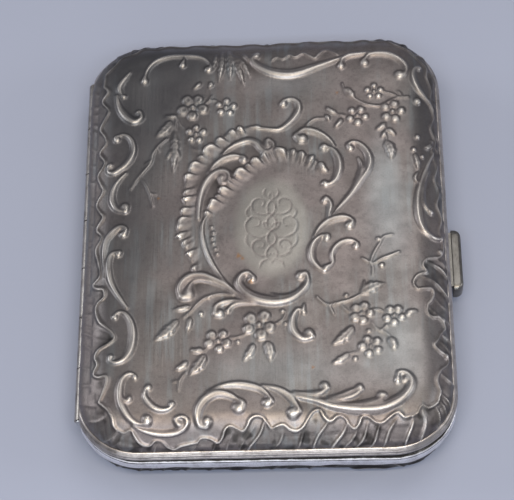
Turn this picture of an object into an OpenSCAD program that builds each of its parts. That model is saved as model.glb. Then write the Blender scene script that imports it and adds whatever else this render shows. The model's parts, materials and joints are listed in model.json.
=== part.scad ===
// Needle case: two embossed silver shells hinged along the left side, with a
// sprung catch on the right, silk linings, packet ribbons and felt leaves.
// Millimetres, +Z up. The origin is the middle of the flat underside,
// +X points to the thumb-piece and +Y to the back of the case.

/* [Case] */
// Width over the rims, from the hinge side to the catch side
case_w = 59; // [56:0.5:64]
// Depth over the rims, from front to back
case_d = 76.2; // [74:0.2:82]
// Corner radius of the rims, seen from above
corner_r = 10.3; // [9.5:0.1:12]
// Height of the seam between the two shells when the case is shut
seam_z = 6.6; // [6.4:0.1:7.2]
// How far the lid stands open, in degrees
lid_lift = 0.9; // [0.9:0.1:3]

/* [Shells] */
// Depth of the embossed sheet, from the high points to the inside
sheet_t = 0.7; // [0.6:0.05:0.8]
// Height of the lid's straight wall above the seam
lid_wall_h = 1.8; // [1.7:0.1:2.2]
// How far the lid's wall stands in from the rim
lid_inset = 0.75; // [0.7:0.05:0.8]
// How far the lid's dome runs in before its top
dome_run = 5.05; // [4.5:0.05:5.3]
// Rise of the lid's dome above its wall
dome_rise = 4.3; // [4.2:0.1:5]
// Extra rise of the lid at its middle
crown = 0.3; // [0.1:0.1:0.5]
// How far the base's wall stands in from the rim
base_inset = 0.5; // [0.5:0.05:0.6]
// Height at which the base starts to curve under
base_curve_h = 1.6; // [1.4:0.1:1.9]
// How far the base curves in before its flat underside
base_run = 3.8; // [3.4:0.1:4]

/* [Rims] */
// Height of the base's rim band
base_rim_h = 2.9; // [2.6:0.1:3]
// How far each shell's edge stays from the seam
shell_gap = 1.3; // [1.25:0.05:1.4]
// Height of the locating flange above the seam
flange_h = 1.1; // [0.8:0.1:1.2]
// Thickness of the locating flange
flange_t = 0.35; // [0.3:0.05:0.4]
// Gap between the flange and the lid's rim
flange_gap = 0.2; // [0.15:0.05:0.25]

/* [Hinge] */
// Outer radius of the hinge knuckles
knuckle_r = 0.95; // [0.85:0.05:1]
// Distance of the hinge line from the rim's outer face
hinge_inset = 0.9; // [0.9:0.05:1]
// Half of the length over all the knuckles
hinge_half = 31.2; // [28:0.1:31.2]
// Number of knuckles, on both shells together
knuckle_count = 7; // [5:2:9]
// Radius of the hinge pin
pin_r = 0.45; // [0.4:0.01:0.47]

/* [Catch] */
// Length of the thumb-piece
thumb_l = 11; // [9:0.5:12]
// Height of the thumb-piece
thumb_h = 3.4; // [3:0.1:3.4]
// How far the thumb-piece stands out from the rim
thumb_out = 2.1; // [1.9:0.1:2.4]
// Place of the thumb-piece's middle along the depth
thumb_y = -3.4; // [-6:0.1:2]
// Thickness of the spring strip
spring_t = 0.35; // [0.25:0.05:0.4]

/* [Fittings] */
// Length of a felt leaf from its fold to its free edge
leaf_l = 49; // [44:0.5:49]
// Depth of a felt leaf along its fold
leaf_d = 52; // [44:1:56]
// Thickness of the felt
leaf_t = 0.6; // [0.5:0.05:0.6]
// Length of a needle
needle_l = 34; // [30:1:38]
// Radius of a needle
needle_r = 0.3; // [0.25:0.01:0.3]
// Width of a packet ribbon
ribbon_w = 6; // [4:0.5:8]

/* [Hidden] */

$fn = 48;
eps = 0.01;
fine = 0.05;
corner_steps = 11;
dome_steps = 9;
half_w = case_w / 2;
half_d = case_d / 2;
silver = [0.62, 0.60, 0.59];
bright_silver = [0.80, 0.79, 0.76];
steel = [0.72, 0.73, 0.75];
silk = [0.66, 0.52, 0.56];
card = [0.78, 0.72, 0.60];
felt = [0.90, 0.87, 0.78];
ribbon = [0.55, 0.40, 0.46];

// Hinge line and the space that is kept free round it
hinge_x = -half_w + hinge_inset;
knuckle_room = knuckle_r + 0.2;
knuckle_pitch = 2 * hinge_half / knuckle_count;
knuckle_gap = 0.15;
bore_r = pin_r + 0.05;
pin_head_r = 0.75;
pin_head_t = 0.25;
trim_half = hinge_half + 1.4;

// Inside of the base and of the lid
floor_z = sheet_t;
lid_dome_z = seam_z + lid_wall_h;
lid_ceiling_z = lid_dome_z + dome_rise - sheet_t;
card_t = 0.35;
base_silk_t = 0.95;
base_silk_top = floor_z + card_t + base_silk_t;
base_silk_inset = 2.7;
base_card_inset = base_inset + sheet_t + base_run + 0.2;
lid_card_inset = lid_inset + sheet_t + dome_run + 0.1;
lid_silk_inset = 4.4;
lid_silk_t = 0.85;
ribbon_t = 0.25;
ribbon_half = 22;
ribbon_y = 14;

// Catch
thumb_in_x = half_w + 0.5;
thumb_out_x = half_w + thumb_out;
thumb_top = seam_z - 0.15;
stem_h = 0.8;
stem_top = seam_z - 0.35;
stem_half = 4.9;
slot_room = 0.15;
spring_x = half_w - 3;
spring_bottom = 3.2;
spring_top = stem_top + 0.05;
spring_near = thumb_y - stem_half;
spring_far = thumb_y + 15;
post_near = spring_far - 4.5;
post_z = 3.3;
post_top = 5.2;
rivet_r = 0.4;
rivet_head_t = 0.2;
rivet_inset = 1.1;
hook_half = 2.2;
keeper_half = 3;
keeper_t = 0.5;
keeper_low = 0.4;
lid_foot_inset = lid_inset + sheet_t;
keeper_in_x = half_w - lid_foot_inset - 0.75;
nib_t = 0.25;
nib_bottom = seam_z + keeper_low + keeper_t + fine;
nib_x = keeper_in_x + 0.3;

// Leaves
fold_r = leaf_t / 2;
fold_x = -half_w + 4.8;
lower_leaf_z = seam_z + 0.4;
upper_leaf_z = seam_z + 2.4;
spine_t = 1;
spine_x = fold_x - fold_r - 0.2 - spine_t;
spine_top = upper_leaf_z - 0.1;
leaf_corner_r = 3;
needle_sink = needle_r / 2;
needle_point_l = 5;
needle_x = fold_x + 7;
needle_pitch = 8;
lower_needles = 6;
upper_needles = 5;
stitch_r = 0.15;
stitch_l = 2.4;
stitch_pitch = 4;
stitch_count = 12;

// Points of one level ring of the rounded outline, inset from the rims
function outline(inset, z, scale = 1) = [
    for (q = [0 : 3])
        for (i = [0 : corner_steps])
            let (
                a = 90 * q + 90 * i / corner_steps,
                sx = (q == 0 || q == 3) ? 1 : -1,
                sy = (q < 2) ? 1 : -1,
                r = corner_r - inset
            )
            [
                scale * (sx * (half_w - corner_r) + r * cos(a)),
                scale * (sy * (half_d - corner_r) + r * sin(a)),
                z
            ]
];

// Closed solid through a stack of rings, with a flat cap on the first and last
module ring_stack(rings) {
    n = len(rings[0]);
    last = len(rings) - 1;
    points = [for (ring = rings) for (p = ring) p];
    walls = [
        for (k = [0 : last - 1])
            for (j = [0 : n - 1])
                let (j2 = (j + 1) % n)
                [k * n + j, k * n + j2, (k + 1) * n + j2, (k + 1) * n + j]
    ];
    first_cap = [for (j = [n - 1 : -1 : 0]) j];
    last_cap = [for (j = [0 : n - 1]) last * n + j];
    polyhedron(points, concat([first_cap], walls, [last_cap]), convexity = 6);
}

// Flat plate with rounded corners, inset from the rims
module rounded_plate(inset, z, h) {
    r = corner_r - inset;
    translate([0, 0, z]) linear_extrude(h) union() {
        square([case_w - 2 * corner_r, case_d - 2 * inset], center = true);
        square([case_w - 2 * inset, case_d - 2 * corner_r], center = true);
        for (sx = [-1, 1])
            for (sy = [-1, 1])
                translate([sx * (half_w - corner_r), sy * (half_d - corner_r)])
                    circle(r, $fn = 96);
    }
}

module rounded_ring(outer_inset, inner_inset, z, h) {
    difference() {
        rounded_plate(outer_inset, z, h);
        rounded_plate(inner_inset, z - eps, h + 2 * eps);
    }
}

// Box given by its lowest and highest corners
module box(low, high) {
    translate(low) cube(high - low);
}

// Space that each rim leaves for the knuckles and for the turning lid
module hinge_room() {
    box(
        [-half_w - 1, -hinge_half - 0.5, seam_z - knuckle_room],
        [hinge_x + knuckle_room, hinge_half + 0.5, seam_z + knuckle_room]
    );
    box([-half_w - 1, -trim_half, 0], [hinge_x, trim_half, lid_ceiling_z]);
}

// Turns the lid's parts up about the hinge line
module lifted() {
    translate([hinge_x, 0, seam_z])
        rotate([0, -lid_lift, 0])
            translate([-hinge_x, 0, -seam_z])
                children();
}

// Row of knuckles, every second one from the first
module knuckles(first, bearer_z) {
    for (i = [first : 2 : knuckle_count - 1]) {
        y = -hinge_half + i * knuckle_pitch + knuckle_gap / 2;
        l = knuckle_pitch - knuckle_gap;
        difference() {
            union() {
                translate([hinge_x, y, seam_z]) rotate([-90, 0, 0]) cylinder(r = knuckle_r, h = l);
                box(
                    [hinge_x, y, min(bearer_z, seam_z)],
                    [hinge_x + knuckle_room, y + l, max(bearer_z, seam_z)]
                );
            }
            translate([hinge_x, y - eps, seam_z])
                rotate([-90, 0, 0]) cylinder(r = bore_r, h = l + 2 * eps);
        }
    }
}

module base_shell() {
    inner_rise = base_curve_h - sheet_t;
    turn = 90 / dome_steps;
    outer = [
        for (k = [0 : dome_steps])
            let (a = 90 - k * turn)
            outline(base_inset + base_run * (1 - cos(a)), base_curve_h * (1 - sin(a)))
    ];
    inner = [
        for (k = [0 : dome_steps])
            let (a = k * turn)
            outline(
                base_inset + sheet_t + base_run * (1 - cos(a)),
                base_curve_h - inner_rise * sin(a)
            )
    ];
    edge_z = seam_z - shell_gap;
    color(silver) ring_stack(concat(
        outer,
        [outline(base_inset, edge_z), outline(base_inset + sheet_t, edge_z)],
        inner
    ));
}

module base_rim() {
    edge_z = seam_z - shell_gap;
    color(bright_silver) difference() {
        union() {
            rounded_ring(0, base_inset, seam_z - base_rim_h, base_rim_h - shell_gap);
            rounded_ring(0, base_inset + sheet_t, edge_z, shell_gap);
        }
        hinge_room();
        box(
            [half_w - base_inset, thumb_y - thumb_l / 2 - slot_room, 0],
            [half_w + 1, thumb_y + thumb_l / 2 + slot_room, seam_z + 1]
        );
        box(
            [half_w - 4, thumb_y - stem_half - slot_room, stem_top - stem_h - slot_room],
            [half_w + 1, thumb_y + stem_half + slot_room, stem_top + slot_room]
        );
    }
}

module locating_flange() {
    bottom = seam_z - shell_gap;
    foot_inset = base_inset + sheet_t;
    flange_inset = lid_foot_inset + flange_gap;
    color(silver) difference() {
        union() {
            rounded_ring(foot_inset, flange_inset + flange_t, bottom, shell_gap - 0.1);
            rounded_ring(flange_inset, flange_inset + flange_t, bottom, shell_gap + flange_h);
        }
        box([-half_w, -half_d, 0], [corner_r - half_w, half_d, lid_ceiling_z]);
        box(
            [half_w - 5, thumb_y - stem_half - 1, 0],
            [half_w, thumb_y + stem_half + 1, lid_ceiling_z]
        );
    }
}

module base_knuckles() {
    color(silver) knuckles(0, seam_z - knuckle_room);
}

module lid_knuckles() {
    color(silver) lifted() knuckles(1, seam_z + knuckle_room);
}

module hinge_pin() {
    color(steel) translate([hinge_x, -hinge_half, seam_z]) rotate([-90, 0, 0]) {
        cylinder(r = pin_r, h = 2 * hinge_half);
        translate([0, 0, -pin_head_t]) cylinder(r = pin_head_r, h = pin_head_t);
        translate([0, 0, 2 * hinge_half]) cylinder(r = pin_head_r, h = pin_head_t);
    }
}

// Block on the base's wall that the spring strip is riveted to
module spring_post() {
    color(silver) difference() {
        box(
            [spring_x + spring_t, post_near, post_z],
            [half_w - base_inset - sheet_t, spring_far, post_top]
        );
        rivet_holes();
    }
}

module rivet_rows() {
    for (y = [post_near + rivet_inset, spring_far - rivet_inset])
        translate([spring_x, y, (post_z + post_top) / 2]) rotate([0, 90, 0]) children();
}

module rivet_holes() {
    rivet_rows() translate([0, 0, -1]) cylinder(r = rivet_r, h = 4);
}

module catch_rivets() {
    color(steel) rivet_rows() {
        cylinder(r = rivet_r, h = 1.6);
        translate([0, 0, -rivet_head_t]) cylinder(r = 2 * rivet_r, h = rivet_head_t);
    }
}

module base_card() {
    color(card) rounded_plate(base_card_inset, floor_z, card_t);
}

module base_silk() {
    color(silk) rounded_plate(base_silk_inset, floor_z + card_t, base_silk_t);
}

module packet_ribbon(y) {
    color(ribbon) box(
        [-ribbon_half, y - ribbon_w / 2, base_silk_top],
        [ribbon_half, y + ribbon_w / 2, base_silk_top + ribbon_t]
    );
}

module ribbon_front() {
    packet_ribbon(-ribbon_y);
}

module ribbon_back() {
    packet_ribbon(ribbon_y);
}

// Bound cloth strip that stands by the hinge and carries the leaves
module leaf_spine() {
    color(silk) box(
        [spine_x, -leaf_d / 2, base_silk_top],
        [spine_x + spine_t, leaf_d / 2, spine_top]
    );
}

module spine_stitches() {
    first_y = -stitch_pitch * (stitch_count - 1) / 2;
    color(card) for (i = [0 : stitch_count - 1])
        translate([
            spine_x + spine_t / 2,
            first_y + i * stitch_pitch - stitch_l / 2,
            spine_top + stitch_r
        ])
            rotate([-90, 0, 0]) cylinder(r = stitch_r, h = stitch_l);
}

module thumb_piece() {
    r = 0.9;
    color(bright_silver) {
        translate([thumb_in_x, thumb_y, thumb_top - thumb_h / 2])
            rotate([90, 0, 90]) linear_extrude(thumb_out_x - thumb_in_x) union() {
                square([thumb_l - 2 * r, thumb_h], center = true);
                square([thumb_l, thumb_h - 2 * r], center = true);
                for (sx = [-1, 1])
                    for (sy = [-1, 1])
                        translate([sx * (thumb_l / 2 - r), sy * (thumb_h / 2 - r)]) circle(r);
            }
        box(
            [spring_x + spring_t, thumb_y - stem_half, stem_top - stem_h],
            [thumb_in_x, thumb_y + stem_half, stem_top]
        );
    }
}

// Strip that springs the thumb-piece out, with the hook that holds the lid
module catch_spring() {
    color(steel) {
        difference() {
            box([spring_x, spring_near, spring_bottom], [spring_x + spring_t, spring_far, spring_top]);
            rivet_holes();
        }
        box(
            [spring_x, thumb_y - hook_half, spring_top],
            [spring_x + spring_t, thumb_y + hook_half, nib_bottom + nib_t]
        );
        box(
            [spring_x + spring_t, thumb_y - hook_half, nib_bottom],
            [nib_x, thumb_y + hook_half, nib_bottom + nib_t]
        );
    }
}

module lid_shell() {
    inner_rise = dome_rise - sheet_t;
    turn = 90 / dome_steps;
    crown_scales = [0.3, 0.55, 0.8];
    last_scale = len(crown_scales) - 1;
    dome_inset = lid_inset + dome_run;
    top_z = lid_dome_z + dome_rise;
    edge_z = seam_z + shell_gap;
    crown_in = [
        for (s = crown_scales)
            outline(dome_inset + sheet_t, lid_ceiling_z + crown * (1 - s * s), s)
    ];
    inner = [
        for (k = [0 : dome_steps])
            let (a = 90 - k * turn)
            outline(lid_foot_inset + dome_run * (1 - cos(a)), lid_dome_z + inner_rise * sin(a))
    ];
    outer = [
        for (k = [0 : dome_steps])
            let (a = k * turn)
            outline(lid_inset + dome_run * (1 - cos(a)), lid_dome_z + dome_rise * sin(a))
    ];
    crown_out = [
        for (k = [0 : last_scale])
            let (s = crown_scales[last_scale - k])
            outline(dome_inset, top_z + crown * (1 - s * s), s)
    ];
    color(silver) lifted() ring_stack(concat(
        crown_in,
        inner,
        [outline(lid_foot_inset, edge_z), outline(lid_inset, edge_z)],
        outer,
        crown_out
    ));
}

module lid_rim() {
    color(silver) lifted() difference() {
        union() {
            rounded_ring(0, lid_foot_inset, seam_z, shell_gap);
            rounded_ring(0, lid_inset, seam_z + shell_gap, lid_wall_h - shell_gap);
        }
        hinge_room();
    }
}

// Ledge inside the lid's rim that the hook snaps over
module keeper() {
    color(steel) lifted() box(
        [keeper_in_x, thumb_y - keeper_half, seam_z + keeper_low],
        [half_w - lid_foot_inset, thumb_y + keeper_half, seam_z + keeper_low + keeper_t]
    );
}

module lid_card() {
    color(card) lifted() rounded_plate(lid_card_inset, lid_ceiling_z - card_t, card_t);
}

module lid_silk() {
    color(silk) lifted()
        rounded_plate(lid_silk_inset, lid_ceiling_z - card_t - lid_silk_t, lid_silk_t);
}

// Felt leaf whose fold is round about its own turning line
module felt_leaf(z) {
    r = leaf_corner_r;
    free_x = fold_x + leaf_l;
    color(felt) union() {
        translate([0, 0, z]) linear_extrude(leaf_t) union() {
            translate([fold_x, -leaf_d / 2]) square([leaf_l - r, leaf_d]);
            translate([fold_x, -leaf_d / 2 + r]) square([leaf_l, leaf_d - 2 * r]);
            for (s = [-1, 1])
                translate([free_x - r, s * (leaf_d / 2 - r)]) circle(r);
        }
        translate([fold_x, -leaf_d / 2, z + fold_r])
            rotate([-90, 0, 0]) cylinder(r = fold_r, h = leaf_d);
    }
}

// Needles lying across a leaf, half sunk in the felt
module needles(count, z) {
    first_y = -needle_pitch * (count - 1) / 2;
    color(steel) for (i = [0 : count - 1])
        translate([needle_x, first_y + i * needle_pitch, z]) rotate([0, 90, 0]) union() {
            cylinder(r = needle_r, h = needle_l - needle_point_l);
            translate([0, 0, needle_l - needle_point_l])
                cylinder(r1 = needle_r, r2 = needle_r / 5, h = needle_point_l);
        }
}

module felt_leaf_lower() {
    felt_leaf(lower_leaf_z);
}

module needles_lower() {
    needles(lower_needles, lower_leaf_z + leaf_t + needle_sink);
}

module felt_leaf_upper() {
    felt_leaf(upper_leaf_z);
}

module needles_upper() {
    needles(upper_needles, upper_leaf_z - needle_sink);
}

base_shell();
base_rim();
locating_flange();
base_knuckles();
hinge_pin();
spring_post();
catch_rivets();
base_card();
base_silk();
ribbon_front();
ribbon_back();
leaf_spine();
spine_stitches();
thumb_piece();
catch_spring();
lid_shell();
lid_rim();
lid_knuckles();
keeper();
lid_card();
lid_silk();
felt_leaf_lower();
needles_lower();
felt_leaf_upper();
needles_upper();
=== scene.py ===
"""Looks of the silver needle case: embossed shells, rims, catch, silk linings, felt leaves and needles."""
import json
import math

import bmesh
import bpy
import numpy as np
from mathutils import Matrix, Vector


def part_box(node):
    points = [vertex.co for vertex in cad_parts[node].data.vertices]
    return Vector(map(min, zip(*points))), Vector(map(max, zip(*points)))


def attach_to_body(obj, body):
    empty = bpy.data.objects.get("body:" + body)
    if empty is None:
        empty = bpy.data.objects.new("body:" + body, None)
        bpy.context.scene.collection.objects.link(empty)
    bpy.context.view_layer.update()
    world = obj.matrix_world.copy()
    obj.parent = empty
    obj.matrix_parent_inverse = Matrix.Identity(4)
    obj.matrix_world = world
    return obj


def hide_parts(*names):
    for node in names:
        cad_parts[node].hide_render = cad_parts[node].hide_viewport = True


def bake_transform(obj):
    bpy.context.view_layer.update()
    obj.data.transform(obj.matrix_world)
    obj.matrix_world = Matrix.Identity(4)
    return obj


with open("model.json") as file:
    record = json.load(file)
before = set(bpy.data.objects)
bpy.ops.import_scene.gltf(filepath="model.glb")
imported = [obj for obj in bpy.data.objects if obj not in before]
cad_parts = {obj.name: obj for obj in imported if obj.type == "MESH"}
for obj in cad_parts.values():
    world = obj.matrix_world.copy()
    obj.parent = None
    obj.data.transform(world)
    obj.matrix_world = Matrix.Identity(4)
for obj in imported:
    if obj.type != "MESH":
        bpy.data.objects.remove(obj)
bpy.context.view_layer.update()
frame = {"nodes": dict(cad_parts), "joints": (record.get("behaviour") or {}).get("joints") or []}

MM = 0.001
SEED = 11

# ---------------------------------------------------------------- sizes, in millimetres, from the frame


def node_box(name):
    low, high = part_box(name)
    return np.array(low) / MM, np.array(high) / MM


rim_low, rim_high = node_box("base_rim")
HALF_W = rim_high[0]
HALF_D = rim_high[1]
SEAM = rim_high[2]
joints = {joint["name"]: joint for joint in frame["joints"]}
HINGE_X = joints["lid_hinge"]["pos_m"][0] / MM
thumb_low, thumb_high = node_box("thumb_piece")
THUMB_Y = (thumb_low[1] + thumb_high[1]) / 2
LID_LIFT = 0.9
CORNER = 10.3
SHELL_GAP = 1.3
SHEET = 0.7
CORE = np.array([HALF_W - CORNER, HALF_D - CORNER])

# The lid's outside: inset of its wall, height of the wall, and the quarter ellipse of its dome
LID = {
    "inset": 0.75,
    "run": 5.05,
    "rise": 4.3,
    "foot": SEAM + 1.8,
    "edge": SEAM + SHELL_GAP,
    "up": 1,
    "crown": 0.3,
    "droop": 0.45,
    "ground": -0.40,
}
# The base's outside, which curves under to a flat underside
BASE = {
    "inset": 0.5,
    "run": 3.8,
    "rise": 1.6,
    "foot": 1.6,
    "edge": SEAM - SHELL_GAP,
    "up": -1,
    "crown": 0.0,
    "droop": 0.0,
    "ground": -0.36,
}

# ---------------------------------------------------------------- ornament, in flattened millimetres
# Each scroll is (half width, lean of its widest place, points of its centre line).
# Each bead is (x, y, radius).

SCROLLS_CENTRE = [
    (0.50, 1.3, [(-6.6, 13), (-5.5, 14.2), (-4, 15.2), (-2.3, 15.7), (-1, 15.1), (-0.3, 14.1), (0.5, 13.5),
                 (1.4, 13.9), (1.6, 14.9), (0.9, 15.6)]),
    (0.45, 1.4, [(-8.8, 9.7), (-7.7, 11.2), (-6.2, 12.3), (-4.6, 12.7), (-3.3, 12.4)]),
    (0.50, 1.5, [(-10.3, 1), (-10.2, 3.5), (-9.8, 6), (-9, 8), (-7.8, 9.4), (-6.4, 9.8), (-5.6, 9.1),
                 (-5.8, 8), (-6.5, 7.7)]),
    (0.26, 1.0, [(-8.4, 2.1), (-9.4, 0.8), (-9.7, -1), (-9.4, -3.5), (-8.6, -6), (-7.4, -8.5), (-5.9, -10.6),
                 (-4.4, -12.1)]),
    (0.66, 0.9, [(-1.7, -9.9), (-2.5, -9.1), (-3.5, -9.6), (-3.9, -10.8), (-3.3, -12), (-2.1, -13.1),
                 (-0.3, -13.9), (2, -14.2), (4.2, -13.7), (5.9, -12.4), (6.8, -10.9), (6.6, -9.5)]),
    (0.24, 1.0, [(1.2, -12.9), (2.6, -13.3), (4.1, -13.1), (5.3, -12.3)]),
    (0.55, 0.6, [(-12.7, -12.8), (-13.1, -11.6), (-12.6, -10.3), (-11.4, -9.4), (-9.8, -9.3), (-8, -10),
                 (-6.2, -11), (-4.6, -12.4), (-3.2, -13.5), (-1.8, -14.1)]),
    (0.26, 0.8, [(-11.5, -11), (-10.8, -10.2), (-9.5, -10.1), (-7.5, -10.7), (-5.8, -11.7), (-4.3, -12.9)]),
    (0.34, 0.6, [(-7.5, -16), (-7.4, -14.9), (-6.5, -14.2), (-5, -13.9), (-3, -14), (-1.5, -14.3)]),
    (0.26, 0.6, [(-5.4, -15.3), (-4.8, -14.7), (-3.5, -14.4), (-1.2, -14.6)]),
    (0.42, 1.6, [(-2, 18.3), (0, 18), (2.5, 17.7), (4, 18.6), (5.2, 20), (5.9, 21.5), (5.7, 22.9),
    (4.7, 23.6),
                 (3.7, 23.4)]),
    (0.48, 0.8, [(5.6, 16.4), (6.8, 17.4), (8.4, 17.1), (9.8, 16.3), (10.9, 15.3), (11.6, 14.2)]),
    (0.52, 1.0, [(10, 14.2), (11.2, 13.6), (12, 12.2), (12.3, 10.4), (12, 8.6), (11.3, 7.4), (10.2, 6.8)]),
    (0.36, 1.0, [(10.1, 4.4), (10.7, 3.2), (10.5, 1.6), (10.1, 0.4)]),
    (0.50, 1.2, [(10.9, 1), (12, 2.4), (13.3, 4), (14.6, 5.8), (15.9, 8), (16.9, 9.8), (17.2, 11.5),
                 (16.8, 13), (15.9, 14.3), (14.8, 14.9), (13.9, 14.5)]),
    (0.38, 1.0, [(13.7, 4.6), (14.9, 6.8), (15.7, 8.8), (15.9, 10.4), (15.4, 11.8)]),
    (0.46, 1.3, [(8, -2.8), (8.8, -1.4), (10, -0.2), (11.5, 0.5), (13, 0.6), (14.1, 0)]),
    (0.46, 1.0, [(10.1, -2.7), (9.2, -2.7), (8.2, -3.6), (7.6, -5), (7.6, -6.6), (8.3, -8), (9.4, -8.9)]),
    (0.38, 1.4, [(10.8, -7.6), (10.8, -6), (11.4, -4.8), (12.5, -3.9), (13.8, -3.6), (14.7, -4.1)]),
    (0.50, 1.1, [(5.3, -15.7), (4.5, -17.1), (4.4, -18.8), (5, -20), (6.2, -20.7), (7.3, -20.4)]),
    (0.26, 1.4, [(6.3, -14.7), (6.1, -15.9)]),
]
BEADS_CENTRE = [
    (0.8, 14.5, 0.95), (-3.1, 12, 0.75), (-6.6, 8.6, 0.85), (-1.8, -10.2, 0.7), (5.8, -9.8, 0.85),
    (-11.9, -12.6, 1.15), (-6.9, -16, 0.85), (-5.6, -15.6, 0.42), (3.4, 22.7, 0.7), (6.3, 15.8, 1.1),
    (9.9, 14, 0.75), (9.9, 7.1, 0.62), (9.8, 3.8, 0.6), (14.2, 13.8, 0.62), (13.7, -0.8, 0.8),
    (10, -3, 0.65), (9.8, -8.5, 0.66), (14.6, -4.6, 0.58), (6.9, -19.8, 0.85), (6.2, -16.2, 0.4),
    (-9.7, -16, 0.38),
]
SCROLLS_FRONT = [
    (0.44, 1.0, [(-19.8, -26.3), (-20.7, -26), (-21.6, -26.8), (-22, -28.2), (-22, -30), (-21.5, -31.6),
                 (-20.7, -33), (-19.8, -33.9), (-18.7, -34.3), (-17.7, -34.1)]),
    (0.30, 1.3, [(-22, -28.9), (-21.6, -30.1), (-20.8, -30.6)]),
    (0.40, 1.0, [(-18, -28.6), (-18.2, -29.8), (-17.5, -31), (-16.5, -31.8), (-15.3, -32.1), (-14.3, -31.8)]),
    (0.42, 1.1, [(-20, -34.5), (-18.5, -35.3), (-16.5, -35.9), (-14.5, -36), (-13, -35.6), (-12, -34.8),
                 (-11.8, -33.8), (-12.6, -33.3), (-13.5, -33.7)]),
    (0.55, 0.9, [(-8.9, -34.9), (-9.8, -34.7), (-10.1, -33.4), (-9.9, -32), (-9.2, -30.8), (-8.2, -30),
                 (-7, -29.6), (-5.6, -29.9), (-4.4, -30.6), (-3.5, -31.4)]),
    (0.42, 1.2, [(-8.7, -29.4), (-7, -28.6), (-5, -28.2), (-3, -28.3), (-1, -28.9), (0.2, -29.8),
    (0.9, -31)]),
    (0.46, 1.3, [(-0.4, -28.5), (1.5, -29), (3, -29.8), (4.2, -31), (5, -32.6)]),
    (0.66, 1.2, [(2.5, -29.5), (5, -30.4), (7.5, -31), (10, -31.9), (12.5, -32.4), (15, -32.6), (17.5, -32.4),
                 (19.5, -31.7), (21, -30.7), (22, -29.3), (22.2, -27.9), (21.4, -26.9), (20.4, -26.9)]),
    (0.42, 1.3, [(4.4, -29.7), (6.5, -30.1), (8.3, -30), (9.4, -29.2)]),
    (0.42, 1.3, [(8.5, -31.2), (11, -31), (13, -30.6), (14.6, -29.7)]),
    (0.28, 1.3, [(9.5, -30.7), (11.5, -30.4), (13.2, -29.7)]),
    (0.44, 1.3, [(12, -31.9), (15, -31.9), (17, -31.4), (18.1, -30.6)]),
]
BEADS_FRONT = [
    (-19.7, -26.7, 0.42), (-17.8, -33.6, 0.85), (-20.5, -30.2, 0.52), (-17.6, -28.4, 0.55),
    (-14, -31.2, 0.5), (-12.9, -34.5, 0.7), (-8.7, -34.2, 0.9), (-3.9, -32, 1.1), (0.4, -31.3, 0.85),
    (4.3, -33.1, 1.05), (20.2, -28.1, 0.62), (9.1, -28.8, 0.75), (14.4, -29.2, 0.62), (17.6, -30.6, 0.7),
    (21.3, -27.9, 0.6),
]
SCROLLS_LEFT = [
    (0.36, 1.0, [(-19.6, 28.6), (-19.2, 30.4), (-18.3, 31.8), (-17, 32.7), (-15.2, 33.2), (-13.2, 33.2),
                 (-11, 33), (-9.6, 32.3), (-8.7, 31.2), (-8.8, 30.2)]),
    (0.26, 1.4, [(-12.9, 32.9), (-13.3, 31.5)]),
    (0.36, 1.2, [(-22, 30.2), (-23.2, 28.4), (-23.8, 27), (-23.4, 25.6)]),
    (0.58, 1.2, [(-24.2, 25.6), (-23.9, 24), (-23.3, 22.4), (-22.3, 21), (-21.1, 20.2), (-20.1, 20.8),
                 (-20.2, 22)]),
    (0.44, 1.2, [(-24.1, 17.3), (-23, 17.7), (-22, 17.2), (-21.3, 16), (-21.1, 14.5), (-21.5, 13),
                 (-22.3, 11.8), (-23.3, 11), (-24.3, 10.4), (-25.2, 10.8), (-25.3, 11.8)]),
    (0.44, 1.3, [(-22.2, 10.2), (-23.4, 8.8), (-24.2, 7.2), (-24.4, 5.5), (-24, 4.2), (-23.2, 3.3),
                 (-22.1, 3)]),
    (0.42, 0.6, [(-21.9, -0.4), (-22.8, 0.1), (-24, -0.7), (-25, -2), (-25.4, -4), (-25.4, -6),
                 (-25.2, -8.6)]),
    (0.42, 0.7, [(-22.8, -4.5), (-24, -4.8), (-24.5, -6), (-24.5, -7.5), (-24.1, -9.5), (-23.2, -11.5),
                 (-22.2, -13.2), (-21.3, -14.6)]),
    (0.46, 1.1, [(-23.4, -16), (-22.6, -15.3), (-21.6, -15.6), (-20.7, -17), (-20.3, -18.7), (-20.3, -20.5),
                 (-20.7, -22.2), (-21.6, -23.5), (-22.8, -24), (-23.7, -23.6)]),
]
BEADS_LEFT = [
    (-19.6, 28.1, 0.7), (-13.3, 31.2, 0.62), (-9, 30.2, 0.75), (-23, 25.2, 0.45), (-20.5, 21.9, 0.5),
    (-23.9, 16.8, 0.65), (-24.9, 11.9, 0.55), (-22.2, 3.8, 0.85), (-22.3, -1.2, 0.75), (-23, -4.9, 0.6),
    (-23.1, -16.2, 0.42), (-23.6, -23, 0.55),
]
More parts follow.
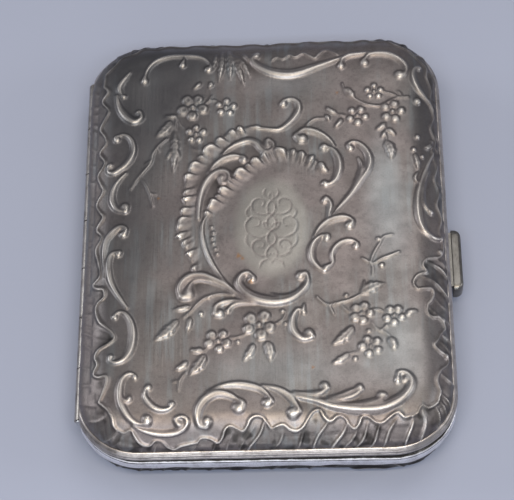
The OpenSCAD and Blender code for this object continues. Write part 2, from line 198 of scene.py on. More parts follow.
SCROLLS_RIGHT = [
    (0.66, 0.9, [(-0.8, 33.2), (-1.6, 32), (-0.8, 30.7), (0.8, 29.6), (2.5, 29), (4.5, 28.8), (6.5, 29.2),
                 (8.5, 30), (10.5, 30.8), (12, 31.4), (13.2, 31.9)]),
    (0.40, 1.0, [(13.1, 30.5), (13.4, 31.6), (14.5, 32.3), (16.3, 32.6), (18, 32.9)]),
    (0.46, 1.0, [(16.9, 31), (17.8, 32.3), (19.5, 32.6), (21.3, 32.3), (22.8, 31.4), (23.8, 30.2),
                 (23.9, 28.8), (23, 28)]),
    (0.48, 1.0, [(26.6, 30.2), (25.7, 29.9), (25.1, 28.6), (25.3, 27), (26, 25.5), (27, 24.4), (28.2, 23.3),
                 (29, 22.2)]),
    (0.56, 1.3, [(28.4, 13.6), (27, 11), (26, 8.5), (25.2, 6), (24.8, 3.5), (24.8, 1), (25.2, -0.8),
                 (26, -2), (27.5, -2.7), (29.2, -2.3)]),
    (0.36, 1.2, [(27.3, 10), (26.3, 8), (25.7, 6), (25.6, 4), (26.1, 2.6), (27.1, 1.9)]),
    (0.26, 1.0, [(25, 9.2), (24.5, 8), (24.9, 6.8)]),
]
BEADS_RIGHT = [
    (-1.1, 32.8, 0.75), (13.1, 30.2, 0.7), (17, 30.6, 0.78), (22.8, 28.1, 0.95), (26.2, 29.9, 0.6),
    (25.6, 23, 0.75), (25.3, 16, 0.5), (24.5, 13.4, 0.5), (26, 12.3, 0.42), (26.9, 1.9, 0.55),
    (28.5, -4.9, 0.5), (28.4, -17.1, 0.5), (28.7, -23.2, 0.55), (28.2, 15.7, 0.5),
]
# Thin stalks: (half width, points)
STALKS = [
    (0.20, [(-4.7, -12.9), (-6.3, -12.6), (-7.8, -12.8), (-9.2, -13.3), (-10.3, -14.2), (-11.3, -15.4),
            (-12.5, -16.5)]),
    (0.15, [(-5.6, -20.3), (-4, -20.2), (-2.8, -19.7)]),
    (0.15, [(1, -18.2), (2, -18), (3, -17.2), (3.4, -16)]),
    (0.17, [(-8.5, -21.5), (-9.4, -22.7)]),
    (0.15, [(-12, -26), (-12.8, -27.2), (-13.1, -29)]),
    (0.13, [(-12.8, -27.3), (-14, -27.5)]),
    (0.23, [(8.2, -13.5), (9.2, -14.6), (10.2, -15), (11.8, -14.6), (13.5, -14.1), (15, -13.3), (16, -12.8)]),
    (0.20, [(15.2, -13), (15.7, -10.9)]),
    (0.20, [(9.9, -14.8), (10.8, -16.6)]),
    (0.17, [(11.8, -14.9), (12.8, -16), (13.5, -16.4)]),
    (0.17, [(16.9, -15.9), (18, -16.1), (18.8, -16.7)]),
    (0.17, [(16.5, -18), (17.2, -19.2), (18.3, -19.8), (19.2, -20.6), (19.6, -21.3)]),
    (0.15, [(17.8, -19.7), (18.8, -18.9)]),
    (0.15, [(14.6, -23.2), (12.9, -23.5)]),
    (0.18, [(17, -9.8), (17.1, -8.5), (16.8, -7.8), (17, -6.8), (17.5, -5.6), (18.3, -4.2), (19, -3),
            (20.4, -2.6)]),
    (0.22, [(16.9, -7.8), (15.4, -6.8)]),
    (0.25, [(17.2, -7.8), (18.5, -7), (20, -6.4), (21.3, -5.8)]),
    (0.20, [(13.2, 26.6), (13.8, 24.6), (15, 23.6), (16.3, 22.6), (17.8, 22.1), (19.5, 22), (20.8, 22.8),
            (22.2, 23.5), (24.1, 23.7)]),
    (0.16, [(19.9, 24.8), (21.5, 24.2), (22.6, 23.6)]),
    (0.15, [(22.3, 24.9), (23, 23.9)]),
    (0.18, [(10, 19.7), (8.6, 19.6), (7.5, 18.8), (6.8, 17.9)]),
    (0.16, [(12.2, 20.4), (13.6, 20.1)]),
    (0.16, [(20, 18.6), (20, 16.4), (20.1, 15)]),
    (0.16, [(-8.4, 24.8), (-8.9, 23.7), (-9.7, 23.1)]),
    (0.16, [(-8.8, 23.8), (-7.8, 23.8), (-7.1, 23.4)]),
    (0.17, [(-14, 20.6), (-13.5, 19.2), (-12.6, 18.3)]),
    (0.17, [(-14.2, 20.8), (-14.4, 18.2)]),
    (0.20, [(-15.7, 16.6), (-17, 15.2), (-17.9, 13.6), (-18.2, 12), (-19.2, 10.5), (-20.3, 9),
            (-21.4, 7.1)]),
    (0.15, [(-17.1, 15), (-16.9, 14)]),
    (0.16, [(-18.2, 12.4), (-19.1, 11.7)]),
    (0.18, [(-19.8, 9.2), (-18.9, 7.8), (-18.2, 6), (-17.7, 3.7)]),
    (0.14, [(-18.2, 6.2), (-17.2, 5.9)]),
    (0.12, [(-12.6, 15.6), (-11.5, 14.5), (-10.2, 14.1)]),
    (0.22, [(1.6, 31.8), (2.4, 32.5), (3.5, 32.1), (4.5, 32.9), (5.5, 32.4), (6.8, 33.2), (7.8, 32.6),
            (8.8, 32), (9.4, 32.8), (10.5, 33.9), (11.5, 33.5), (12.6, 32.7)]),
]
# Leaves: (foot x, foot y, tip x, tip y, half width)
LEAVES = [
    (-11.4, -14.6, -14.3, -15.1, 0.48), (-13.2, -16.9, -17.1, -20.6, 0.82), (-11.4, -16.5, -12, -19.3, 0.42),
    (-1.5, -21.4, -3.3, -24.4, 0.6), (0.4, -21, 0.9, -24.6, 0.78), (-9.2, -22.3, -11.6, -22.1, 0.5),
    (-9, -22.9, -11.5, -26.5, 0.85), (-11.6, -24.1, -13.9, -25.6, 0.48), (15, -13.1, 19, -11.4, 1.0),
    (21.8, -17, 23.9, -16.2, 0.48), (19.2, -20.7, 20, -23.3, 0.58), (13.9, -18.8, 10.2, -22, 0.85),
    (13.1, -23.4, 10.1, -25.1, 0.55), (13.6, 25.7, 15.3, 23.3, 0.5), (12.2, 20.5, 10.2, 22.1, 0.42),
    (13.1, 19.6, 11.5, 17.6, 0.38), (10.3, 20.4, 10.9, 18.9, 0.32), (20.1, 18.5, 18.3, 17.2, 0.42),
    (20.1, 17.4, 21.7, 15.9, 0.42), (20, 17, 19.1, 15.5, 0.32), (20, 15.1, 20.8, 11.2, 0.88),
    (-10.1, 27.6, -11.7, 26.1, 0.34), (-8.4, 27.7, -9, 26.2, 0.34), (-13.9, 20.9, -16.2, 21, 0.42),
    (-14.8, 20.1, -17.6, 16.9, 0.85), (-14.4, 18.2, -14.6, 9.7, 0.62), (-14.7, 14.6, -15.8, 12.5, 0.34),
    (-14.3, 14.6, -13.5, 12.4, 0.34), (24.6, 12.8, 25.1, 9.2, 0.55), (28.4, 15.6, 26.3, 13.9, 0.5),
    (-6.6, 34.4, -7.3, 27.2, 0.5), (-5.6, 34.6, -5.4, 27.6, 0.55), (-5.2, 33.6, -3.0, 26.4, 0.55),
    (-4.4, 33, -1.9, 28.1, 0.5), (-7.6, 33.6, -8.4, 29.6, 0.4), (-3.4, 33.4, -1.6, 30.9, 0.4),
]
# Flowers: (x, y, ring radius, petal radius, turn in degrees)
FLOWERS = [
    (-0.8, -18.2, 1.8, 0.86, 62), (-7.1, -20.7, 1.45, 0.66, 58), (15.1, -16.5, 1.3, 0.66, 66),
    (20.1, -17, 1.25, 0.56, 54), (16.3, -22.2, 1.3, 0.6, 40), (18.4, 24.8, 1.15, 0.42, 90),
    (15.5, 20.1, 1.35, 0.56, 60), (21.3, 20.8, 1.5, 0.62, 74), (-11.5, 22.6, 1.75, 0.86, 54),
    (-6, 22.4, 1.3, 0.52, 84), (-10.9, 17.3, 1.3, 0.5, 84),
]
BUDS = [
    (-4, -21, 0.34), (2.9, -15.9, 0.34), (3.3, -18, 0.32), (12.8, -13.4, 0.36), (13.9, -24.3, 0.4),
    (16.1, -19.6, 0.36), (18.1, -3.4, 0.4), (18.5, -8.1, 0.45), (18.9, -18.8, 0.32), (-8.6, -13.2, 0.3),
]
# Pleated ribbons: (half width, pleat pitch, slant, points)
RUFFLES = [
    (1.4, 1.45, 0.12, [(-8.8, 1.6), (-7, 4.2), (-5.2, 6.6), (-3.2, 9), (-1, 11), (1.5, 12.3), (4, 12.7),
                        (6.5, 11.8), (8.4, 10.5), (9.9, 9.5)]),
    (1.25, 2.1, 0.22, [(-10.3, -8.6), (-10.8, -6.8), (-11.1, -4.8), (-12, -3), (-12.7, -1), (-12.3, 1),
                      (-12, 3), (-11.6, 5), (-11.8, 7), (-11.4, 9), (-10.4, 11.2), (-9, 13), (-7.3, 14.9),
                      (-5, 16.7), (-2.5, 17.7), (-0.8, 18.1)]),
]
# Broad lighter and darker places on the sheet, the lighter ones bluish grey: (x, y, reach across, reach
# along, amount)
TONES = [
    (-19, 26, 11, 11, -0.75), (-21, 2, 6, 22, -0.5), (-12, 33, 10, 5, -0.35), (-8, 3, 7, 9, -0.15),
    (20, 6, 4.0, 16, 0.5), (3, 27, 8, 4, 0.3), (2, -26, 18, 5, 0.28), (21, -22, 5, 8, 0.3),
    (17, -11, 6, 5, -0.1), (-14, -24, 7, 6, -0.1), (26, 20, 5, 14, -0.5), (9, 7, 6, 8, -0.05),
    (-25, -22, 4, 12, -0.3), (6, 16, 12, 5, -0.25),
]
# Small brown and cream spots
STAINS = [(-3.9, -5.9, 0.5), (-2.0, -10.6, 0.45), (-3.3, -6.4, 0.35), (7.4, -25.6, 0.3), (-16.8, 5.2, 0.3),
          (12.3, 24.8, 0.3)]
# Row of small punched dots left of the oval
PUNCHES = [(-8.2, -0.6), (-7.9, -1.6), (-8.1, -2.6), (-7.9, -3.6), (-7.6, -4.6), (-7.3, -5.5)]

# Wavy ridge that bounds the fluted border, once round the case
RIDGE_FRONT = [
    (-24, -31.6), (-23.2, -33), (-22.9, -34.6), (-21.5, -35.6), (-20.3, -35.2), (-19.7, -36.3),
    (-18.8, -37.6),
    (-17.6, -38), (-16.6, -37.1), (-15.6, -37.4), (-14.7, -38.4), (-13.8, -38.8), (-12.9, -38.2),
    (-11.5, -37.8),
    (-10.4, -37.6), (-9.6, -36.8), (-8.3, -37), (-7.2, -37.7), (-6.5, -36.8), (-6, -35.4), (-5.2, -34.9),
    (-4.2, -35.4), (-3.4, -35.8), (-2.7, -35), (-2.2, -33.9), (-1.3, -33.4), (-0.3, -33.7), (0.4, -34.7),
    (1, -35.5), (1.8, -35.1), (2.8, -34.9), (3.8, -35.7), (4.9, -35.9), (5.8, -35.2), (6.5, -34),
    (7.3, -32.9),
    (8.3, -32.7), (9, -33.9), (9.9, -34.5), (11, -33.7), (12, -34), (12.7, -35.2), (13.4, -35.8),
    (14.1, -35.1),
    (14.6, -33.9), (15.6, -34), (16.6, -34.8), (17.7, -34.9), (18.8, -34), (20, -33.3), (21, -34.1),
    (22, -33.9), (23, -33.5), (23.7, -32.2), (25, -32.5), (26.5, -31.5),
]
RIDGE_RIGHT = [
    (27, -29.5), (26.4, -27.8), (27.2, -26), (28.8, -24.6), (29, -23.3), (27.2, -22.6), (26.3, -21.8),
    (27, -20.8), (27.8, -19.5), (28.8, -18.2), (27.6, -16.8), (26.2, -17), (25.4, -16.4), (25.5, -15),
    (26.2, -14), (26.7, -12.8), (26.3, -12), (25, -12.2), (23.8, -12.3), (23.3, -11.2), (24, -10),
    (25.2, -9.4), (25.6, -9), (25, -8), (25.7, -6.8), (27, -6.3), (28.6, -5.6), (29.4, -3.6), (28.6, -1),
    (29.3, 1.5), (28.4, 3.8), (29.2, 6.2), (28.3, 8.6), (29.2, 11.2), (28.2, 13.6), (29, 16), (28.1, 18.4),
    (29, 21), (28.2, 23.6), (28.8, 26.2), (27.8, 28.6), (28, 31), (26.4, 32.6),
]
RIDGE_BACK = [
    (24.4, 34.6), (22.6, 35.2), (21, 36.6), (18.6, 36.4), (17, 37.6), (14.4, 36.8), (12.4, 38), (9.4, 37.2),
    (7.4, 38.4), (5.8, 37.1), (3, 37.9), (0.6, 36.8), (-1.8, 38.2), (-4, 37), (-6.8, 38), (-8.4, 36.9),
    (-11.4, 38.1), (-13, 36.8), (-15.8, 37.6), (-17.6, 36.2), (-20, 36.6), (-21.6, 34.9), (-23.8, 34.4),
    (-25, 32.4), (-26.6, 30.8),
]
RIDGE_LEFT = [
    (-26.7, 28), (-25.8, 26.6), (-26.9, 25), (-25.6, 22.9), (-26.2, 21.3), (-27.1, 19.6), (-26.2, 18),
    (-25.8, 16.4), (-27, 14.8), (-25.9, 12.7), (-27.2, 10.6), (-26.6, 8.8), (-26, 7.3), (-27.3, 5.2),
    (-26.6, 3.6), (-25.8, 2.3), (-27, 0.4), (-25.9, -1.3), (-27, -3.4), (-26.4, -5.8), (-26, -8.3),
    (-27.4, -9.6), (-26.5, -10.5), (-25.2, -11), (-25.1, -12.4), (-26.2, -13.2), (-26.5, -14.5),
    (-25.8, -16.5), (-24.6, -17.7), (-23.5, -18.8), (-23.2, -19.8), (-24.2, -20.7), (-25.7, -21.5),
    (-26.3, -22.6), (-25.8, -24), (-26.5, -25.4), (-25.6, -26.2), (-24.3, -26.2), (-24.1, -27.2),
    (-24.7, -29), (-25.4, -30.4),
]
OVAL = {"x": 1.3, "y": -0.8, "half_x": 6.4, "half_y": 9.8}

# Engraved leafy flourish on the oval: half of each pair, from the oval's middle
FLOURISH = [
    [(0.0, -6.4), (0.9, -5.2), (0.5, -3.9), (-0.6, -2.7), (-0.5, -1.3), (0.6, 0), (0.6, 1.5), (-0.5, 2.8),
     (-0.5, 4.2), (0.4, 5.4), (0.1, 6.4)],
    [(0.2, -4.9), (1.6, -5.3), (2.8, -4.5), (3.0, -3.1), (2.1, -2.3), (1.2, -2.9), (1.5, -3.7), (2.2, -3.6)],
    [(0.3, -1.2), (1.9, -1.9), (3.6, -1.1), (4.1, 0.6), (3.1, 1.9), (1.9, 1.4), (2.0, 0.3), (2.9, 0.3)],
    [(0.2, 2.6), (1.5, 2.3), (2.9, 3.0), (3.1, 4.4), (2.2, 5.3), (1.2, 4.8), (1.4, 3.9), (2.1, 3.9)],
    [(3.2, -3.9), (4.0, -2.6), (3.9, -1.4)],
    [(3.5, 1.7), (4.0, 2.8), (3.3, 4.0)],
    [(0.0, -0.6), (0.9, -0.2), (1.3, 0.8), (0.4, 0.6), (0.0, 0.0)],
    [(0.6, 5.4), (1.2, 6.3), (0.9, 7.1)],
    [(0.7, -5.9), (1.6, -6.4), (1.9, -7.2)],
]

# ---------------------------------------------------------------- relief drawn on a fine grid

STEP = 0.085
REACH = np.array([33.5, 42.0])
grid_x = np.arange(-REACH[0], REACH[0] + STEP, STEP)
grid_y = np.arange(-REACH[1], REACH[1] + STEP, STEP)


def smooth_line(points, spacing=0.12, closed=False):
    """Points evenly spaced along a smooth curve through the given ones."""
    p = np.array(points, float)
    if len(p) == 2:
        n = max(2, int(np.hypot(*(p[1] - p[0])) / spacing))
        return p[0] + (p[1] - p[0]) * np.linspace(0, 1, n)[:, None]
    if closed:
        p = np.vstack([p[-1], p, p[0], p[1]])
    else:
        p = np.vstack([2 * p[0] - p[1], p, 2 * p[-1] - p[-2]])
    out = []
    for a, b, c, d in zip(p[:-3], p[1:-2], p[2:-1], p[3:]):
        n = max(2, int(np.hypot(*(c - b)) / spacing))
        t = np.arange(n)[:, None] / n
        out.append(0.5 * (2 * b + (c - a) * t + (2 * a - 5 * b + 4 * c - d) * t**2
                          + (3 * b - a - 3 * c + d) * t**3))
    if not closed:
        out.append(p[-2:-1])
    return np.vstack(out)


def window(low, high, margin):
    """Grid cells round a box, as slices and their places."""
    x0, x1 = np.searchsorted(grid_x, [low[0] - margin, high[0] + margin])
    y0, y1 = np.searchsorted(grid_y, [low[1] - margin, high[1] + margin])
    area = (slice(y0, y1), slice(x0, x1))
    return area, np.meshgrid(grid_x[x0:x1], grid_y[y0:y1])


def beside(line, x, y):
    """For each cell: signed distance from the line, and the place along it from 0 to 1 and in millimetres."""
    d2 = (x[..., None] - line[:, 0]) ** 2 + (y[..., None] - line[:, 1]) ** 2
    near = d2.argmin(-1)
    tangent = np.gradient(line, axis=0)
    tangent /= np.maximum(np.hypot(*tangent.T), 1e-9)[:, None]
    dx = x - line[near, 0]
    dy = y - line[near, 1]
    side = tangent[near, 0] * dy - tangent[near, 1] * dx
    away = np.sqrt(np.take_along_axis(d2, near[..., None], -1)[..., 0])
    steps = np.hypot(*np.diff(line, axis=0).T)
    along = np.concatenate([[0], np.cumsum(steps)])
    return np.where(side < 0, -away, away), near / (len(line) - 1), along[near]


def blur(field, radius):
    """Gaussian-like blur: three passes of a box."""
    n = max(1, int(round(radius / STEP)))
    kernel = np.ones(2 * n + 1) / (2 * n + 1)
    for _ in range(3):
        for axis in (0, 1):
            padded = np.pad(field, [(n, n) if a == axis else (0, 0) for a in (0, 1)], mode="edge")
            total = np.cumsum(padded, axis=axis)
            zero = np.zeros_like(np.take(total, [0], axis=axis))
            total = np.concatenate([zero, total], axis=axis)
            size = field.shape[axis]
            high = np.take(total, np.arange(2 * n + 1, 2 * n + 1 + size), axis=axis)
            low = np.take(total, np.arange(size), axis=axis)
            field = (high - low) / len(kernel)
    return field


class Relief:
    """Height over the sheet's ground, in millimetres, built up from strokes."""

    def __init__(self):
        self.height = np.zeros((len(grid_y), len(grid_x)))

    def raise_to(self, area, value):
        self.height[area] = np.maximum(self.height[area], value)

    def scroll(self, half, lean, points, beads, tall=0.5):
        """Tapered scroll whose ends swell and curl into the beads beside them."""
        start_r = end_r = 0.0
        for x0, y0, radius in beads:
            if start_r == 0 and math.hypot(x0 - points[0][0], y0 - points[0][1]) < radius + 0.75:
                points = [(x0, y0)] + points
                start_r = radius
            elif end_r == 0 and math.hypot(x0 - points[-1][0], y0 - points[-1][1]) < radius + 0.75:
                points = points + [(x0, y0)]
                end_r = radius
        line = smooth_line(points)
        turn = np.gradient(line, axis=0)
        bend = np.sum(turn[:-1, 0] * turn[1:, 1] - turn[:-1, 1] * turn[1:, 0])
        area, (x, y) = window(line.min(0), line.max(0), half + 1.0)
        side, place, along = beside(line, x, y)
        long = along.max()
        swell = np.sin(np.pi * np.clip(place, 0.02, 0.98) ** lean)
        width = half * (0.46 + 0.94 * swell)
        for radius, away in ((start_r, along), (end_r, long - along)):
            width = np.maximum(width, 0.8 * radius * np.exp(-((away / (1.9 * radius + 0.01)) ** 2)))
        across = np.clip(np.abs(side) / width, 0, 1)
        body = (1 - across**2.6) ** 0.8 * tall * np.clip(0.45 + 0.75 * width, 0, 1.1)
        inner = side * np.sign(bend) / width
        groove = 0.20 * np.exp(-((inner - 0.30) / 0.2) ** 2) * np.clip((width - 0.3) / 0.25, 0, 1)
        fine = 0.07 * np.exp(-((inner + 0.38) / 0.12) ** 2) * np.clip((width - 0.45) / 0.2, 0, 1)
        self.raise_to(area, body - (groove + fine) * (across < 1))

    def bead(self, x0, y0, radius, tall=0.62):
        area, (x, y) = window((x0, y0), (x0, y0), radius + 0.2)
        r = np.clip(np.hypot(x - x0, y - y0) / radius, 0, 1)
        tall = min(tall, 0.20 + 0.27 * radius)
        facing = 0.5 + 0.5 * np.cos(np.arctan2(y - y0, x - x0) - 7 * x0 - 3 * y0)
        curl = 0.19 * facing * np.exp(-(((r - 0.5) / 0.15) ** 2)) * min(max((radius - 0.45) / 0.3, 0), 1)
        self.raise_to(area, tall * (1 - r**2.8) ** 0.8 - curl)

    def stalk(self, half, points, tall=0.22):
        line = smooth_line(points)
        area, (x, y) = window(line.min(0), line.max(0), half + 0.3)
        side, place, _ = beside(line, x, y)
        width = half * (0.60 + 0.45 * np.sin(np.pi * np.clip(place, 0.1, 0.9)))
        across = np.clip(np.abs(side) / width, 0, 1)
        self.raise_to(area, (1 - across**2) ** 0.7 * (tall + 0.25 * half))

    def leaf(self, x0, y0, x1, y1, half, tall=0.4):
        """Pointed leaf with a sunk midrib, slanting veins and a toothed edge."""
        length = math.hypot(x1 - x0, y1 - y0)
        ux, uy = (x1 - x0) / length, (y1 - y0) / length
        area, (x, y) = window((min(x0, x1), min(y0, y1)), (max(x0, x1), max(y0, y1)), half + 0.4)
        along = ((x - x0) * ux + (y - y0) * uy) / length
        side = -(x - x0) * uy + (y - y0) * ux
        side = side - 0.35 * half * np.sin(np.pi * np.clip(along, 0, 1))
        inside = np.clip(along, 0, 1)
        slant = inside * length - 0.9 * np.abs(side)
        width = half * np.sin(np.pi * inside**0.75) * (1 + 0.14 * np.sin(slant * 5.2)) + 1e-3
        across = np.clip(np.abs(side) / width, 0, 1)
        body = tall * (1 - across**2.4) ** 0.5 * (0.65 + 0.35 * np.sin(np.pi * inside))
        rib = 0.16 * np.exp(-((side / 0.13) ** 2))
        veins = 0.035 * np.sin(slant * 8)
        value = np.where((along > 0) & (along < 1) & (across < 1), body - rib + veins, 0)
        self.raise_to(area, value)

    def flower(self, x0, y0, ring, petal, turn):
        """Five dished petals with notched tips round a small boss."""
        for k in range(5):
            a = math.radians(turn + 72 * k + 5 * math.sin(3 * k + x0))
            size = petal * (1.1 + 0.08 * math.sin(2.3 * k + y0))
            reach = ring * 0.95
            px, py = x0 + reach * math.cos(a), y0 + reach * math.sin(a)
            area, (x, y) = window((px, py), (px, py), size + 0.25)
            out = (x - px) * math.cos(a) + (y - py) * math.sin(a)
            side = -(x - px) * math.sin(a) + (y - py) * math.cos(a)
            notch = 0.12 * size * np.exp(-((side / (0.25 * size)) ** 2)) * (out > 0)
            r = np.clip(np.hypot(out / 1.12, side * 0.96) / (size - notch), 0, 1)
            dish = 0.15 * np.exp(-(((out + 0.12 * size) / (0.5 * size)) ** 2) - (side / (0.42 * size)) ** 2)
            self.raise_to(area, 0.40 * (1 - r**3.4) ** 0.8 - dish * min(1.0, petal / 0.7))
        self.bead(x0, y0, 0.34 * ring, 0.42)

    def ruffle(self, half, pitch, slant, points, tall=0.55):
        """Pleated ribbon: wedge-shaped pleats that rise towards a scalloped outer edge."""
        line = smooth_line(points)
        area, (x, y) = window(line.min(0), line.max(0), half + 0.8)
        side, place, along = beside(line, x, y)
        wobble = 0.34 * np.sin(along * 1.7) + 0.32 * np.sin(along * 0.83 + 1)
        turn = (along + slant * side + wobble) / pitch
        saw = turn % 1.0
        fold = np.where(saw < 0.68, saw / 0.68, (1 - saw) / 0.32)
        size = 0.85 + 0.3 * np.sin(np.floor(turn) * 2.4)
        ends = np.clip(np.minimum(place, 1 - place) * 7, 0, 1) ** 0.6
        outer = half * (0.62 + 0.52 * fold * size) * (0.5 + 0.5 * ends)
        inner = half * 0.95 * (0.5 + 0.5 * ends)
        share = np.where(side > 0, side / outer, side / inner)
        lip = np.clip((1 - share) / 0.14, 0, 1) ** 0.7 * np.clip((1 + share) / 1.2, 0, 1) ** 0.7
        crease = 0.10 * np.exp(-(((saw - 0.36) / 0.09) ** 2))
        crease = crease + 0.13 * np.exp(-((np.minimum(saw, 1 - saw) / 0.09) ** 2))
        pleats = 0.09 * np.cos(2 * np.pi * 2.5 * saw)
        rise = np.clip(0.62 + 0.5 * share, 0, 1)
        value = tall * (0.34 + 0.78 * fold * size) * rise - crease + pleats
        self.raise_to(area, value * lip * (np.abs(share) < 1))

    def ridge(self, points, half=0.26, tall=0.30):
        line = smooth_line(points)
        for start in range(0, len(line) - 1, 90):
            part = line[start:start + 95]
            area, (x, y) = window(part.min(0), part.max(0), half + 0.3)
            side, _, along = beside(part, x, y)
            width = half * (0.85 + 0.25 * np.sin((along + start * 0.12) * 0.9))
            across = np.clip(np.abs(side) / width, 0, 1)
            self.raise_to(area, tall * (1 - across**2) ** 0.7)


def round_the_case(x, y):
    """Distance round the case of each place outside the core, in millimetres."""
    cx, cy = np.clip(x, -CORE[0], CORE[0]), np.clip(y, -CORE[1], CORE[1])
    turn = np.arctan2(y - cy, x - cx)
    side_x, side_y, radius = CORE[0], CORE[1], 8.0
    quarter = radius * np.pi / 2
    top = side_y + quarter + side_x
    left = top + side_x + quarter + side_y
    beyond_x, beyond_y = np.abs(x) > CORE[0], np.abs(y) > CORE[1]
    return np.select(
        [(x > CORE[0]) & ~beyond_y, (x > CORE[0]) & (y > 0),
         (y > CORE[1]) & ~beyond_x, (x < 0) & (y > CORE[1]),
         (x < -CORE[0]) & ~beyond_y, (x < -CORE[0]) & (y < 0), (y < -CORE[1]) & ~beyond_x],
        [cy, side_y + radius * turn, top - cx, top + side_x + radius * (turn - np.pi / 2), left - cy,
         -side_y - quarter - 2 * side_x + radius * (turn + np.pi / 2), -side_y - quarter - side_x + cx],
        -side_y + radius * turn,
    )


def inside_loop(loop):
    """Which grid cells lie inside a closed line."""
    x = np.meshgrid(grid_x, grid_y)[0]
    inside = np.zeros(x.shape, bool)
    for (x0, y0), (x1, y1) in zip(loop, np.roll(loop, -1, axis=0)):
        if y0 == y1:
            continue
        rows = (grid_y >= min(y0, y1)) & (grid_y < max(y0, y1))
        cross = x0 + (grid_y[rows] - y0) * (x1 - x0) / (y1 - y0)
        inside[rows] ^= x[rows] < cross[:, None]
    return inside


def draw_relief():
    relief = Relief()
    rng = np.random.default_rng(SEED)
    loop = smooth_line(RIDGE_FRONT + RIDGE_RIGHT + RIDGE_BACK + RIDGE_LEFT, 0.2, closed=True)
    inside = inside_loop(loop)
    x, y = np.meshgrid(grid_x, grid_y)
    # thin flutes run from the ridge to the rim, unevenly spaced, and slant a little
    out = np.maximum(np.abs(x) - CORE[0], 0), np.maximum(np.abs(y) - CORE[1], 0)
    to_rim = 12.4 - np.hypot(*out)
    table = np.arange(-170, 170, 0.05)
    flutes = np.zeros_like(table)
    spot = -168.0
    while spot < 168:
        spot += rng.uniform(1.2, 3.9)
        wide, tall = rng.uniform(0.18, 0.32), rng.uniform(0.20, 0.38)
        flutes = np.maximum(flutes, tall * np.exp(-(((table - spot) / wide) ** 2)))
    place = round_the_case(x, y)
    place = place - 0.45 * to_rim + 0.25 * np.sin(0.8 * to_rim + 0.5 * place)
    closeness = np.clip(blur(inside.astype(float), 1.0) / 0.5, 0, 1)
    near = blur(inside.astype(float), 0.16)
    left, right = soft_step(-x, 23, 27), soft_step(x, 23, 27)
    border = -0.07 - 0.15 * closeness + np.interp(place, table, flutes) * (1 - 0.6 * left)
    relief.height = border * (1 - near)
    for points in (RIDGE_FRONT, RIDGE_RIGHT, RIDGE_BACK):
        relief.ridge(points)
    relief.ridge(RIDGE_LEFT, half=0.36, tall=0.27)
    relief.ridge([RIDGE_FRONT[-1], RIDGE_RIGHT[0]])
    relief.ridge([RIDGE_RIGHT[-1], RIDGE_BACK[0]])
    relief.ridge([RIDGE_BACK[-1], RIDGE_LEFT[0]])
    relief.ridge([RIDGE_LEFT[-1], RIDGE_FRONT[0]])
    for ruffle in RUFFLES:
        relief.ruffle(*ruffle)
    for stalk in STALKS:
        relief.stalk(*stalk)
    scroll_sets = ((SCROLLS_CENTRE, BEADS_CENTRE), (SCROLLS_FRONT, BEADS_FRONT),
                   (SCROLLS_LEFT, BEADS_LEFT), (SCROLLS_RIGHT, BEADS_RIGHT))
    for scrolls, beads in scroll_sets:
        for scroll in scrolls:
            relief.scroll(*scroll, beads)
    for leaf in LEAVES:
        relief.leaf(*leaf)
    for flower in FLOWERS:
        relief.flower(*flower)
    for beads in (BEADS_CENTRE, BEADS_FRONT, BEADS_LEFT, BEADS_RIGHT, BUDS):
        for bead in beads:
            relief.bead(*bead)
    for x0, y0 in PUNCHES:
        relief.bead(x0, y0, 0.28, 0.3)
    height = blur(relief.height, 0.085)
    oval = np.hypot((x - OVAL["x"]) / OVAL["half_x"], (y - OVAL["y"]) / OVAL["half_y"])
    plain = np.clip((1.05 - oval) / 0.3, 0, 1)
    for points in FLOURISH:
        for flip in (1, -1):
            line = smooth_line([(OVAL["x"] + flip * px, OVAL["y"] + py) for px, py in points])
            area, (ax, ay) = window(line.min(0), line.max(0), 0.4)
            side, share, _ = beside(line, ax, ay)
            width = 0.06 + 0.055 * np.sin(np.pi * np.clip(share, 0, 1))
            cut = np.exp(-((side / width) ** 2))
            height[area] -= 0.05 * cut
            plain[area] *= 1 - 0.9 * cut
    tone = sum(
        amount * np.exp(-(((x - tx) / rx) ** 2) - ((y - ty) / ry) ** 2)
        for tx, ty, rx, ry, amount in TONES
    )
    stain = np.zeros_like(x)
    for sx, sy, radius in STAINS:
        ragged = radius * (1 + 0.3 * np.sin(3 * np.arctan2(y - sy, x - sx) + sx))
        stain = np.maximum(stain, np.clip(1.6 - 1.6 * np.hypot(x - sx, y - sy) / ragged, 0, 1))
    # the sheet is never quite flat between the ornaments
    dents = blur(rng.normal(0, 1, height.shape), 1.6)
    height += 0.045 * dents / dents.std()
    waves = blur(rng.normal(0, 1, height.shape), 5.0)
    height += 0.05 * waves / waves.std()
    # black oxide left in the pockets between the ridge and the rim
    patches = blur(rng.normal(0, 1, height.shape), 0.34)
    patches = patches / patches.std() + 0.7 * np.sin(0.55 * place + 1.3)
    amount = 0.80 - 0.12 * left - 0.30 * right
    soot_and_shade = (1 - near) * (0.36 + 0.64 * soft_step(patches, 0.1 - 1.0 * left - 0.3 * right, 1.5 - 0.6 * left))
    soot_and_shade *= amount * (1 - left * (1 - closeness**1.5))
    return {"height": height, "plain": plain, "tone": tone, "stain": stain, "soot_and_shade": soot_and_shade}


def sample(field, u, v):
    """Field values between the grid's cells."""
    fx = np.clip((u - grid_x[0]) / STEP, 0, len(grid_x) - 1.001)
    fy = np.clip((v - grid_y[0]) / STEP, 0, len(grid_y) - 1.001)
    ix, iy = fx.astype(int), fy.astype(int)
    tx, ty = fx - ix, fy - iy
    low = field[iy, ix] * (1 - tx) + field[iy, ix + 1] * tx
    high = field[iy + 1, ix] * (1 - tx) + field[iy + 1, ix + 1] * tx
    return low * (1 - ty) + high * ty


# ---------------------------------------------------------------- shells

